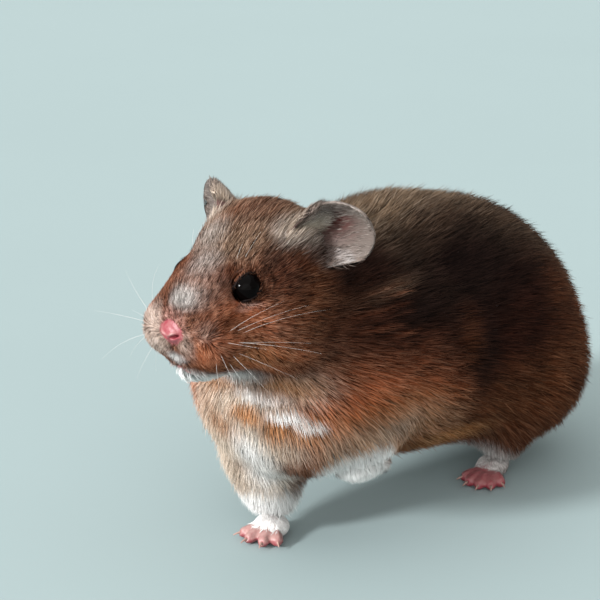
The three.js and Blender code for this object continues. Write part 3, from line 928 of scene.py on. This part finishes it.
def lock_mesh(name, root, middle, tip, up, width, chance, patch):
    """Closed locks of hair. Each starts at a point in the skin, is thickest at its bend and
    tapers to its tip. Its shading leans towards the skin's own, as in soft fur."""
    count = len(root)
    way = unit(tip - root)
    side = unit(np.cross(up, way))
    rise = np.cross(way, side)
    spokes = [side * across * 0.5 + rise * above * 0.5 for across, above in RING]
    ring = [middle + spoke * width[:, None] for spoke in spokes]
    soft = [unit(up + spoke * 1.3) for spoke in spokes]
    corners = np.array(LOCK_FACES, np.int32).ravel()
    starts = np.arange(count, dtype=np.int32)[:, None] * LOCK_CORNERS
    loops = (starts + corners).ravel()
    mesh = bpy.data.meshes.new(name)
    mesh.vertices.add(count * LOCK_CORNERS)
    mesh.loops.add(len(loops))
    mesh.loops.foreach_set("vertex_index", loops)
    mesh.polygons.add(len(loops) // 3)
    mesh.polygons.foreach_set("loop_start", np.arange(0, len(loops), 3, dtype=np.int32))
    place(mesh, np.stack((root, *ring, tip), axis=1))
    mesh.update(calc_edges=True)
    uv = np.clip(patch, 0.0005, 0.9995 - PATCH)[:, None, :] + lock_patch()
    mesh.uv_layers.new(name="OFBake").uv.foreach_set("vector", uv.astype(np.float32).ravel())
    along = np.tile((0, BEND, BEND, BEND, 1), count)
    # a lock has one colour, which is that of the coat between its bend and its tip
    shows = (middle * 0.45 + tip * 0.55) * MM
    shows, chance = (np.repeat(rows, LOCK_CORNERS, axis=0) for rows in (shows, chance))
    add_vectors(mesh, "shows", shows)
    add_vectors(mesh, "lock", np.column_stack((along, chance)))
    add_vectors(mesh, "custom_normal", np.stack((up, *soft, up), axis=1))
    return mesh


class HAMSTER_OT_coat(bpy.types.Operator):
    """Grows the coat as locks of hair over the skin, each a closed tapering solid"""

    bl_idname = "hamster.coat"
    bl_label = "Coat"

    def execute(self, context):
        sizes, colours = settings()
        mesh = bpy.data.objects["skin"].data
        points, outward, is_head, lie, depth, hair, density, width = coat_fields(mesh, sizes)
        corners, uv = triangles(mesh)
        a, b, c = (points[corners[:, k]] for k in range(3))
        thick = density[corners].mean(1) * np.linalg.norm(np.cross(b - a, c - a), axis=1) / 2
        on_head = is_head[corners].all(1)
        tree = tree_of(mesh)
        material = coat_material(colours)
        rng = np.random.default_rng(SEED)
        share = 1
        # the locks of the body differ less in lightness
        for region, chosen, locks, contrast in (
            ("head", on_head, sizes.face_locks, 1),
            ("body", ~on_head, sizes.body_locks, 0.7),
        ):
            picks = sampled(np.where(chosen, thick, 0), int(locks * share), rng)
            mix = rng.dirichlet((1, 1, 1), len(picks))[..., None]
            patch = (uv[picks] * mix).sum(1)
            root, up, way, deep, long, wide = (
                (values[corners[picks]] * mix).sum(1)
                for values in (points, outward, lie, depth, hair, width)
            )
            up = unit(up)
            lean = sum(waves(root, a, SEED + i) * far for i, (a, far) in enumerate(LEANS, 1))
            way = level(way + lean + rng.normal(size=root.shape) * LONE_LEAN, up)
            long = long * rng.uniform(*LONG, long.shape)
            stands = rng.uniform(*HIGH, deep.shape)
            high = deep * (stands + 0.35 * rng.uniform(size=deep.shape) ** 12)
            run = np.sqrt(np.maximum(long**2 - high**2, (0.45 * long) ** 2))
            bend = root + way * run * BEND
            middle, up = follow(tree, bend, high * BEND_RISE)
            ahead = level(unit(middle - root), up)
            tip, _ = follow(tree, bend + ahead * run * (1 - BEND), high)
            root = root - up * ROOT_SINK
            wide = (wide * rng.uniform(*WIDE, wide.shape))[:, 0]
            # a lock's lightness is partly its own and partly its neighbours'
            chance = rng.uniform(size=(len(root), 2))
            clumped = (chance[:, 0] - 0.5) * 0.75 + waves(root, 1.4, SEED + 3)[:, 0] * 0.45
            chance[:, 0] = np.clip(0.5 + clumped * contrast, 0, 1)
            order = np.argsort(root[:, 1], kind="stable")
            pieces = math.ceil(len(order) / LOCKS_IN_A_PIECE)
            for number_of, some in enumerate(np.array_split(order, pieces), 1):
                name = f"coat_{region}_{number_of}"
                locks_of = (v[some] for v in (root, middle, tip, up, wide, chance, patch))
                coat = piece(name, lock_mesh(name, *locks_of), material)
                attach(coat, "root")
        return {"FINISHED"}


# ---------------------------------------------------------------- eyes, claws and whiskers


class HAMSTER_OT_eyes(bpy.types.Operator):
    """Makes the two eyeballs, in place of their solids"""

    bl_idname = "hamster.eyes"
    bl_label = "Eyes"

    def execute(self, context):
        sizes, colours = settings()
        material = eye_material(colours)
        ball = {"u_segments": 48, "v_segments": 24, "radius": sizes.eye_radius}
        for name in ("eye_left", "eye_right"):
            low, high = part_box(name)
            mesh = bpy.data.meshes.new("ball")
            with edited(mesh) as bm:
                bmesh.ops.create_uvsphere(bm, **ball)
                bmesh.ops.translate(bm, verts=bm.verts, vec=Vector((low + high) / 2))
            eye = piece(name + "_ball", mesh, material)
            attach(eye, "root")
            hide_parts(name)
        return {"FINISHED"}


class HAMSTER_OT_claws(bpy.types.Operator):
    """Rounds the claws, in place of their faceted solids"""

    bl_idname = "hamster.claws"
    bl_label = "Claws"

    def execute(self, context):
        _, colours = settings()
        names = [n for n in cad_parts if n.startswith("claw_")]
        rounded = modified(swollen(names, 0.06), "SUBSURF", levels=2, render_levels=2)
        claws = piece("claws", rounded, claw_material(colours))
        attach(claws, "root")
        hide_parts(*names)
        return {"FINISHED"}


# Whiskers: root on the pad in the head's frame, the way they leave it, and length in mm.
WHISKERS = (
    ((10.4, 5, -0.3), (0.7, 0.15, 0.5), 17),
    ((11.2, 6.6, -0.2), (0.6, 0.45, 0.4), 19),
    ((11.6, 8.2, -0.8), (0.5, 0.8, 0.3), 18),
    ((10.2, 4.6, -2), (0.75, -0.25, 0.1), 16),
    ((11.2, 6.2, -2.2), (0.7, 0.35, 0), 18),
    ((11.7, 7.8, -2.6), (0.5, 0.8, -0.1), 17),
    ((9.6, 3.8, -3.8), (0.65, -0.4, -0.3), 14),
    ((10.6, 5.6, -4.2), (0.7, 0.1, -0.35), 15),
    ((11.2, 7.2, -4.6), (0.6, 0.5, -0.4), 14),
    ((8.4, 4, -5.8), (0.5, -0.3, -0.7), 10),
    ((9.6, 6, -6.2), (0.55, 0.2, -0.7), 10),
    ((6.8, 14.4, 12.2), (0.3, 0.3, 0.85), 8),  # over the eye
    ((6, 13, 12.2), (0.2, 0.1, 0.9), 6),
)
WHISKER_POINTS = 15  # on the path of each


def node(tree, kind, inputs=(), **values):
    """Adds a node with its settings. Its inputs are values, or what they are linked from: a
    socket, or a node for its first output in use. They are in order, or named or counted from
    0. A kind without a prefix is a shader's."""
    made = tree.nodes.new(kind if "Node" in kind else "ShaderNode" + kind)
    for name, value in values.items():
        setattr(made, name, value)
    pairs = inputs.items() if isinstance(inputs, dict) else enumerate(inputs)
    for name, value in pairs:
        if isinstance(value, bpy.types.Node):
            value = next(output for output in value.outputs if output.enabled)
        if isinstance(value, bpy.types.NodeSocket):
            tree.links.new(value, made.inputs[name])
        elif made.inputs[name].type == "RGBA":
            made.inputs[name].default_value = (*value[:3], 1)
        else:
            made.inputs[name].default_value = value
    return made


def new_tree(name, kind, *sockets):
    """A node group, whose sockets are given as name, IN or OUT and kind, and its start."""
    tree = bpy.data.node_groups.new(name, kind)
    for label, way, holds in sockets:
        tree.interface.new_socket(label, in_out=way + "PUT", socket_type="NodeSocket" + holds)
    return tree, node(tree, "NodeGroupInput")


def whisker_tree(material):
    """Sweeps a round section, tapering to the tip, along each path of a mesh of edges."""
    sockets = ("Paths", "IN", "Geometry"), ("Radius", "IN", "Float"), ("Whiskers", "OUT", "Geometry")
    tree, start = new_tree("whiskers", "GeometryNodeTree", *sockets)
    radius = tree.interface.items_tree["Radius"]
    radius.subtype = "DISTANCE"
    add = partial(node, tree)
    curves = add("GeometryNodeMeshToCurve", {"Mesh": start.outputs["Paths"]})
    along = add("GeometryNodeSplineParameter").outputs["Factor"]
    taper = add("MapRange", {"Value": along, "To Min": 1.0, "To Max": 0.22})
    sized = add("Math", (taper, start.outputs["Radius"]), operation="MULTIPLY")
    section = add("GeometryNodeCurvePrimitiveCircle", {"Resolution": 5, "Radius": 1.0})
    sweep = {"Curve": curves, "Profile Curve": section, "Scale": sized, "Fill Caps": True}
    swept = add("GeometryNodeCurveToMesh", sweep)
    real = add("GeometryNodeRealizeInstances", {"Geometry": swept})
    dressed = add("GeometryNodeSetMaterial", {"Geometry": real, "Material": material})
    add("NodeGroupOutput", {"Whiskers": dressed})
    return tree, radius.identifier


class HAMSTER_OT_whiskers(bpy.types.Operator):
    """Sets the whiskers in their pads, swept along curved paths"""

    bl_idname = "hamster.whiskers"
    bl_label = "Whiskers"

    def execute(self, context):
        sizes, colours = settings()
        steps = np.linspace(0, 1, WHISKER_POINTS)[:, None]
        points, edges = [], []
        rng = np.random.default_rng(SEED + 5)
        for root, way, reach in WHISKERS:
            for side in SIDES:
                mirror = np.array((side, 1, 1))
                aim = unit(unit(np.array(way, float)) + rng.normal(size=3) * 0.06) * mirror
                grown = reach * rng.uniform(0.85, 1.05)
                bend = (np.array((-side * 0.1, 0.16, -0.14)) + rng.normal(size=3) * 0.04) * grown
                path = np.array(root) * mirror - aim * 0.8 + aim * steps * grown + bend * steps**2
                start = len(points)
                points += list(from_head(path) * MM)
                edges += [(i, i + 1) for i in range(start, start + WHISKER_POINTS - 1)]
        paths = bpy.data.meshes.new("paths")
        paths.from_pydata(points, edges, [])
        tree, radius = whisker_tree(whisker_material(colours))
        width = {radius: sizes.whisker_radius}
        whiskers = piece("whiskers", modified(paths, "NODES", node_group=tree, **width))
        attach(whiskers, "root")
        return {"FINISHED"}


# ---------------------------------------------------------------- materials

# The markings, painted in order over the ground colour. Each row: centre and radii in mm in
# the row's frame, colour, strength, and how soft its edge is (1 fades from the centre). A row
# that ends in True is on both sides.
MARKINGS = (
    ((0, 25, 58), (36, 50, 36), "olive", 1, 0.2),  # body
    ((26, 24, 33), (17, 36, 24), "chestnut", 1, 0.5, True),  # thigh and rump
    ((20, -28, 34), (18, 30, 15), "tan", 1, 0.6, True),  # lower flank
    # apricot and cream low on the flank: the coat's own colours, painted lighter as painted light
    # where the fur faces down into shade
    ((17, -26, 28), (14, 24, 10), "apricot", 0.85, 0.8, True),
    ((15, -26, 27), (13, 24, 7), "cream", 0.5, 0.9, True),
    ((18, -18, 26), (9, 20, 6), "apricot", 0.45, 0.8, True),
    ((16, 2, 18), (9, 13, 4.5), "apricot", 0.8, 0.8, True),
    # rump: its own dark fur, and painted shade on the side away from the light
    ((25, 14, 47), (17, 34, 16), "bark", 1, 0.6, True),  # rump
    ((22, -16, 51), (8, 16, 8), "bark", 0.9, 0.8, True),
    # painted shade over the dark fur of the rump
    ((0, 50, 56), (26, 26, 22), "bark", 0.9, 0.7),
    ((0, 2, 82), (22, 48, 17), "olive", 1, 0.5),  # back
    ((13, 10, 67), (10, 34, 8), "bark", 0.6, 0.8, True),
    ((26, 50, 42), (8, 10, 10), "tan", 0.15, 0.9, True),  # edge of the back
    ((21, 4, 60.5), (17, 40, 14), "umber", 1, 0.8, True),  # band along the flank
    ((15, -22, 68), (9, 12, 6.5), "umber", 0.9, 0.8, True),
    ((25, 4, 39), (8, 5, 14), "umber", 0.75, 0.8, True),  # fold before the thigh
    ((25, -1, 45), (6, 4, 9), "chestnut", 0.5, 0.8, True),
    ((17.5, -26, 61), (5, 7, 0.6), "tan", 0.45, 0.8, True),  # pale streaks on the shoulder
    ((18, -20, 59.5), (5, 4, 0.4), "tan", 0.5, 0.8, True),
    ((19, -25, 57.3), (5, 8, 0.5), "tan", 0.4, 0.8, True),
    ((19, -18, 55.6), (5, 4, 0.4), "tan", 0.45, 0.8, True),
    ((19, -27, 53.6), (5, 7, 0.6), "tan", 0.35, 0.8, True),
    ((20, -20, 51.4), (5, 4, 0.5), "tan", 0.4, 0.8, True),
    ((20, -16, 55.2), (5, 7, 4), "umber", 1, 0.9, True),
    ((22, -16, 47), (5, 10, 4), "tan", 0.12, 0.9, True),
    ((15.6, -26, 60.2), (5, 12, 2.4), "olive", 0.4, 0.8, True),
    # painted light on the cream low on the shoulder, where the fur faces down into shade
    ((18.6, -21, 29), (6, 9, 3), "cream", 0.45, 0.9, True),
    ((8.5, -43.5, 43.2), (8.5, 8, 4.5), "cream", 0.42, 0.9),
    ((24, 36, 46), (8, 10, 7), "chestnut", 0.6, 0.9, True),
    ((-6, -46, 32), (15, 13, 14), "cream", 1, 0.5),  # chest and upper arm
    ((-12, -45, 36), (5, 8, 7), "apricot", 0.45, 0.9),
    ((-9, -45, 31), (6, 8, 2.4), "apricot", 0.45, 0.9),
    ((-11, -36, 19), (12, 13, 13), "cream", 1, 0.4),
    ((-1.5, -48, 36.8), (5.5, 7, 2.6), "apricot", 0.95, 0.7),
    ((4, -46, 34), (3.6, 7, 4.4), "apricot", 0.9, 0.8),
    ((8, -43, 34), (6, 7, 4.5), "apricot", 0.85, 0.7),
    ((7, -40, 25), (4, 8, 8), "tan", 0.35, 0.8),
    ((-10, -42, 19), (5, 6, 2.6), "apricot", 0.6, 0.9),
    ((-9, -47, 33), (5, 7, 2.4), "apricot", 0.5, 0.9),
    ((-3, -45, 25.5), (5.5, 9, 6.5), "white", 0.9, 0.9),
    ((-5, -38, 18), (6, 8, 6), "white", 0.8, 0.8),
    ((-9.5, -30, 3), (9, 10, 10.5), "white", 1, 0.2),  # wrist
    ((-5, -53, 45.5), (9, 10, 2.4), "white", 0.75, 0.6),  # throat
    ((2, -48, 41.8), (7, 7, 1.9), "white", 0.9, 0.6),
    ((6.5, -45, 37.4), (4.5, 5, 1.3), "white", 0.95, 0.6),  # streak to the lifted paw
    ((10.8, -42.2, 34.8), (4, 5, 1.4), "white", 0.9, 0.6),
    ((12.5, -26.5, 19.5), (9, 10, 8), "white", 1, 0.25),
    ((0, 0, 5), (18, 46, 9), "white", 0.9, 0.6),  # belly
    ((6, -42.5, 28), (4, 5, 4), "cream", 0.6, 0.9),
    ((0, 64, 17), (4, 6, 3.5), "blush", 0.9, 0.7),  # tail
    ((13.5, 26, 4), (6, 9, 4), "white", 0.6, 0.6),  # feet
    ((-16, 40, 4), (6, 9, 4), "white", 0.6, 0.6),
)
# The same for the head, with places in its own frame.
HEAD_MARKINGS = (
    ((0, 24, 20), (14, 18, 11), "olive", 1, 0.5),  # crown
    ((17, 28, 3), (9, 14, 10), "chestnut", 0.8, 0.7, True),  # side of the head
    ((17, 39, -3), (9, 14, 9), "bark", 0.62, 0.8, True),  # side of the neck
    ((15, 38, 9), (7, 8, 8), "umber", 0.9, 0.7, True),  # behind the ear
    ((0, 24, 20), (12, 14, 9), "agouti", 0.8, 0.9),
    ((11, 19.5, 12.5), (4, 6, 4), "bark", 0.7, 0.9, True),  # over the eye
    ((13.6, 20.5, 7.5), (4, 5, 4), "bark", 0.6, 0.9, True),
    ((11, 10, 1), (5, 7, 4.5), "tan", 0.9, 0.7, True),  # cheek
    ((12, 14, -9), (8, 13, 7), "tan", 1, 0.6, True),
    ((8, 23, -17), (9, 9, 3.2), "apricot", 0.75, 0.8, True),
    ((11.5, 13, -7), (6, 7, 4), "apricot", 0.35, 0.9, True),
    # pale hair on the far side of the forehead, which faces the light, brightened as painted sheen
    ((-4.5, 15, 15.5), (5, 6, 4), "frost", 0.45, 0.9),
    ((6.6, 10, 9.3), (1.7, 3.4, 3.6), "rust", 0.9, 0.8, True),  # before the eye
    # bridge of the nose: pale hair with a soft painted sheen on it
    ((0.6, 9.5, 11.6), (3.8, 4.8, 2.8), "frost", 0.5, 1),
    ((2.5, 6.5, 8), (5.5, 5.5, 4), "peach", 0.15, 1),
    ((1.6, 3.6, 6.2), (4, 3.8, 2.6), "frost", 0.55, 1),
    ((1, 2.9, 5.8), (3, 2.8, 2), "white", 0.4, 1),
    ((0.4, 2.6, 5.4), (2.4, 3, 2.4), "frost", 0.6, 1),
    # the far whisker pad, which faces the light, is painted pale as painted light
    ((-6.6, 2, -2), (5, 5, 6.5), "peach", 0.95, 0.5),  # whisker pads
    # painted shade on the near whisker pad
    ((6.5, 3, -4.5), (4, 4, 4.5), "tan", 0.8, 0.9),
    ((3.2, 1.4, -3.6), (2.4, 3, 3.4), "peach", 0.65, 0.9),
    ((7.6, 1.8, -0.3), (2.6, 3, 2.4), "peach", 0.2, 0.9, True),
    ((-0.4, 1.2, 0.2), (4, 3, 4), "blush", 0.9, 0.6),  # beside the nose
    # painted shade on the near whisker pad
    ((10.4, 5.8, 1.6), (2.8, 3.8, 2.4), "rust", 0.8, 0.9),
    ((10.2, 12, 3.6), (2.4, 3.6, 0.7), "frost", 0.35, 0.9, True),  # under the eye
    ((11, 23.8, 17), (4.2, 4, 3.4), "frost", 0.5, 0.9, True),  # before the ear
    ((0, 6, -12), (8, 9, 2.9), "white", 1, 0.6),  # chin
    ((-0.9, 2.2, -6.9), (2.6, 2.4, 1.2), "white", 0.85, 1),  # upper lip
    ((4, 12, -14.4), (7.5, 8, 2.3), "white", 0.95, 0.9),
    ((18.5, 31, 17.5), (9.5, 7.5, 9.5), "ear_fur", 1, 0.4),  # ears
    ((-18, 33, 15), (9.5, 9, 10), "ear_fur", 1, 0.4),
    # painted shade on the hair deep in the ears' hollows
    ((15, 31.8, 12.2), (3.4, 3, 4.8), "bark", 0.9, 0.8, True),  # in the ears' hollows
    ((11.2, 24.8, 18), (3.2, 3.8, 3.2), "cream", 0.85, 0.9, True),  # tufts before them
    ((12.6, 27.6, 11), (2.9, 3.6, 3.8), "rust", 0.85, 0.9, True),
    ((13.2, 28.5, 18.6), (3.4, 3.4, 4.6), "cream", 1, 0.9, True),
    ((8.1, 10.5, 5.5), (1.1, 1.1, 0.9), "lid", 1, 0.5, True),  # front corner of the eye
)
# How far, in mm, the edge of a patch wanders, for patches at least so thick.
WANDERS = ((5, 6.0), (2.3, 2.0), (0, 0.7))


def markings(colours):
    """A group that gives the coat's colour at a place in the row's frame, in metres."""
    old = bpy.data.node_groups.get("markings")
    if old:
        return old
    sockets = ("Place", "IN", "Vector"), ("Colour", "OUT", "Color")
    tree, start = new_tree("markings", "ShaderNodeTree", *sockets)
    add = partial(node, tree)
    place_mm = add("VectorMath", {0: start, "Scale": 1 / MM}, operation="SCALE")
    # edges of the patches wander every 7 mm or so
    drift = {"Vector": place_mm, "Scale": 1 / 7, "Detail": 2.0, "Roughness": 0.6}
    wander = add("TexNoise", drift).outputs["Color"]
    centred = add("VectorMath", (wander, (0.5, 0.5, 0.5)), operation="SUBTRACT")
    moved = [
        add("VectorMath", (centred, (reach, reach, reach), place_mm), operation="MULTIPLY_ADD")
        for _, reach in WANDERS
    ]
    colour = colours.agouti
    for _, centre, (radii, name, strength, soft, *_) in both_sides(MARKINGS, HEAD_MARKINGS):
        spot = next(m for m, (thick, _) in zip(moved, WANDERS) if min(radii) >= thick)
        away = add("VectorMath", (spot, centre), operation="SUBTRACT")
        shaped = add("VectorMath", (away, radii), operation="DIVIDE")
        far = add("VectorMath", (shaped,), operation="LENGTH")
        fade = (far, 1 - soft, 1 + soft / 2, strength, 0.0)
        painted = add("MapRange", fade, interpolation_type="SMOOTHSTEP")
        layer = {0: painted, 6: colour, 7: getattr(colours, name)}
        colour = add("Mix", layer, data_type="RGBA")
    add("NodeGroupOutput", (colour,))
    return tree


def finish(name, roughness, specular):
    """A new material, a function that adds its nodes, and its shader."""
    material = bpy.data.materials.new(name)
    material.use_nodes = True
    shader = material.node_tree.nodes["Principled BSDF"]
    shader.inputs["Roughness"].default_value = roughness
    shader.inputs["Specular IOR Level"].default_value = specular
    return material, partial(node, material.node_tree), shader


def coloured(material, shader, colour):
    """The material with its colour linked from a node."""
    output = next(output for output in colour.outputs if output.enabled)
    material.node_tree.links.new(output, shader.inputs["Base Color"])
    return material


def coat_material(colours):
    """Agouti fur: each hair is dark at its root and pale at its tip, and no two are quite as
    light as each other, which gives the eye the ticking of a wild coat. White fur has less
    of it."""
    material, add, shader = finish("agouti_fur", 0.75, 0.05)
    shows, lock = (
        add("Attribute", attribute_name=name).outputs["Vector"] for name in ("shows", "lock")
    )
    along, chance, other = add("SeparateXYZ", (lock,)).outputs[:3]
    colour = add("Group", {"Place": shows}, node_tree=markings(colours))
    # clumps of hair lie lighter or darker every 5 mm or so, drawn out along the body
    sizes = (1 / (4 * MM), 1 / (8 * MM), 1 / (4 * MM))
    drawn = add("Mapping", {"Vector": shows, "Scale": sizes})
    clumps = add("TexNoise", {"Vector": drawn, "Scale": 1.0, "Detail": 2.0})
    clump = add("MapRange", (clumps, 0.3, 0.7, 0.6, 1.45))
    # each hair's own lightness, its dark root, and one hair in six a dark guard hair
    tone = add("MapRange", {0: chance, 3: 0.08, 4: 1.25})
    guard = add("MapRange", (other, 0.12, 0.2, 0.3, 1.0))
    rooted = add("MapRange", (along, 0.05, 0.6, 0.25, 1.0))
    for factor in (guard, rooted, clump):
        tone = add("Math", (tone, factor), operation="MULTIPLY")
    light = add("RGBToBW", (colour,))
    even = add("MapRange", (light, 0.2, 0.85, 0.0, 0.6))
    ticked = add("Mix", {0: even, 2: tone, 3: 1.0}, data_type="FLOAT")
    hair = add("VectorMath", {0: colour, "Scale": ticked}, operation="SCALE")
    # the lightest hairs are pale all along, and some others end in a pale tip
    tips = add("MapRange", (along, 0.5, 1.0))
    some = add("MapRange", (other, 0.5, 0.75, 0.0, 0.55))
    not_dark = add("MapRange", (light, 0.005, 0.07))
    lightest = add("MapRange", (chance, 0.6, 1.0, 0.0, 0.8))
    tipped = add("Math", (tips, some, lightest), operation="MULTIPLY_ADD")
    tipped = add("Math", (tipped, not_dark), operation="MULTIPLY")
    paler = add("Gamma", (colour, 0.58))
    return coloured(material, shader, add("Mix", {0: tipped, 6: hair, 7: paler}, data_type="RGBA"))


def skin_material(colours):
    """Skin: the coat's markings, darker, where hair covers it; moist pink flesh on the nose,
    lips and toes, deepened as painted shade in the nostrils and under the paws and paler as a
    painted highlight on the folds over the nostrils; thin grey-pink leaves on the ears, deepening
    to dark red as painted shade in the hollow."""
    material, add, shader = finish("bare_skin", 0.42, 0.45)
    at = add("TexCoord").outputs["Object"]
    colour = add("Group", {"Place": at}, node_tree=markings(colours))
    colour = add("VectorMath", {0: colour, "Scale": 0.75}, operation="SCALE")
    shares = add("Attribute", attribute_name="bare").outputs["Vector"]
    bare, leaf, deep = add("SeparateXYZ", (shares,)).outputs[:3]
    grain = add("TexNoise", {"Vector": at, "Scale": 1 / (0.9 * MM), "Detail": 3.0})
    blood = add("MapRange", (grain, 0.45, 0.8, 0.0, 0.3))
    deeper = add("Math", (blood, deep), operation="ADD", use_clamp=True)
    # the third share deepens each flesh: partly its own colour, partly painted shade and a painted
    # highlight
    for share, depth, light, dark in (
        (bare, deeper, colours.pink, colours.deep_pink),
        (leaf, deep, colours.ear_skin, colours.ear_hollow),
    ):
        flesh = add("Mix", {0: depth, 6: light, 7: dark}, data_type="RGBA")
        colour = add("Mix", {0: share, 6: colour, 7: flesh}, data_type="RGBA")
    pores = add("TexNoise", {"Vector": at, "Scale": 1 / (0.3 * MM), "Detail": 2.0})
    relief = add("Bump", {"Height": pores, "Strength": 0.5, "Distance": 0.08 * MM})
    material.node_tree.links.new(relief.outputs[0], shader.inputs["Normal"])
    return coloured(material, shader, colour)


def mottled(name, roughness, specular, first, second, patch):
    """A finish whose colour drifts between two, in patches of a given size in metres."""
    material, add, shader = finish(name, roughness, specular)
    at = add("TexCoord").outputs["Object"]
    drift = add("TexNoise", {"Vector": at, "Scale": 1 / patch, "Detail": 3.0})
    return coloured(material, shader, add("Mix", {0: drift, 6: first, 7: second}, data_type="RGBA"))


def lid_material(colours):
    """Rims of the eyelids: hairless, nearly black skin with a trace of its grain."""
    worn = [min(1, c * 2) for c in colours.lid]
    return mottled("dark_lid_skin", 0.6, 0.08, colours.lid, worn, 0.5 * MM)


def eye_material(colours):
    """Cornea over an iris as dark as its pupil: black, with small sharp highlights."""
    flecks = [min(1, c * 2) for c in colours.eye]
    return mottled("wet_cornea", 0.03, 0.045, colours.eye, flecks, 1.5 * MM)


def claw_material(colours):
    """Claw horn: brown with paler streaks, and a dull polish from wear."""
    pale = [min(1, c * 2.4) for c in colours.claw]
    return mottled("claw_horn", 0.35, 0.5, colours.claw, pale, 0.6 * MM)


def whisker_material(colours):
    """Whisker: stiff white hair that catches the light."""
    return mottled("stiff_white_hair", 0.35, 0.5, colours.white, colours.frost, 4 * MM)


def floor_material(colours):
    """Matt painted board: nearly even, with a faint mottle over some centimetres."""
    faint = [c * 0.95 for c in colours.floor]
    return mottled("matt_board", 0.95, 0.05, colours.floor, faint, 110 * MM)


# ---------------------------------------------------------------- the stage

CAMERA_AT = Vector((0.26282, -0.39284, 0.22024))
CAMERA_AIM = Vector((-0.01335, -0.01273, 0.04923))
LENS = 138  # mm, on a 36 mm sensor
# Name, where it comes from, how wide in degrees and how strong. The key comes low from before
# the animal, and the fill lower still from its left.
LIGHTS = (
    ("key", (-0.34, -0.92, 0.42), 10, 4.4),
    ("top", (-0.25, -0.6, 1.0), 120, 2.3),
    ("fill", (0.6, -0.75, 0.2), 70, 1.1),
)
AIR_STRENGTH = 0.65


def aimed(name, data, at, target):
    """An object at a place that looks at another."""
    obj = link(bpy.data.objects.new(name, data))
    obj.location = at
    obj.rotation_euler = (target - at).to_track_quat("-Z", "Y").to_euler()
    return obj


class HAMSTER_OT_stage(bpy.types.Operator):
    """Sets a pale floor, soft light and the camera"""

    bl_idname = "hamster.stage"
    bl_label = "Stage"

    def execute(self, context):
        _, colours = settings()
        camera = bpy.data.cameras.new("camera")
        camera.lens = LENS
        camera.sensor_width = 36
        camera.clip_start = 0.01
        context.scene.camera = aimed("camera", camera, CAMERA_AT, CAMERA_AIM)
        mesh = bpy.data.meshes.new("floor")
        with edited(mesh) as bm:
            bmesh.ops.create_circle(bm, cap_ends=True, segments=96, radius=4)
        floor = piece("floor", mesh, floor_material(colours))
        for name, way, spread, power in LIGHTS:
            light = bpy.data.lights.new(name, "SUN")
            light.angle = math.radians(spread)
            light.energy = power
            aimed(name, light, Vector(way), Vector((0, 0, 0)))
        context.scene.view_settings.view_transform = "Standard"
        world = bpy.data.worlds.new("air")
        world.use_nodes = True
        background = world.node_tree.nodes["Background"]
        background.inputs["Color"].default_value = (*colours.air, 1)
        background.inputs["Strength"].default_value = AIR_STRENGTH
        context.scene.world = world
        return {"FINISHED"}


# ---------------------------------------------------------------- panel and registration


class HAMSTER_PT_panel(bpy.types.Panel):
    """Lists the hamster's sizes, colours and pieces"""

    bl_idname = "HAMSTER_PT_panel"
    bl_label = "Syrian hamster"
    bl_space_type = "VIEW_3D"
    bl_region_type = "UI"
    bl_category = "Hamster"

    def draw(self, context):
        for group in settings():
            box = self.layout.box()
            for name in group.__annotations__:
                box.prop(group, name)
        for operator in OPERATORS:
            self.layout.operator(operator.bl_idname)


OPERATORS = (
    HAMSTER_OT_stage,
    HAMSTER_OT_skin,
    HAMSTER_OT_coat,
    HAMSTER_OT_eyes,
    HAMSTER_OT_claws,
    HAMSTER_OT_whiskers,
)
CLASSES = (HamsterSizes, HamsterColours, *OPERATORS, HAMSTER_PT_panel)


def register():
    for cls in CLASSES:
        bpy.utils.register_class(cls)
    bpy.types.Scene.hamster_sizes = PointerProperty(type=HamsterSizes)
    bpy.types.Scene.hamster_colours = PointerProperty(type=HamsterColours)


def unregister():
    del bpy.types.Scene.hamster_sizes
    del bpy.types.Scene.hamster_colours
    for cls in reversed(CLASSES):
        bpy.utils.unregister_class(cls)


def main():
    register()
    bpy.ops.hamster.stage()
    bpy.ops.hamster.skin()
    bpy.ops.hamster.coat()
    bpy.ops.hamster.eyes()
    bpy.ops.hamster.claws()
    bpy.ops.hamster.whiskers()


if __name__ == "__main__":
    main()
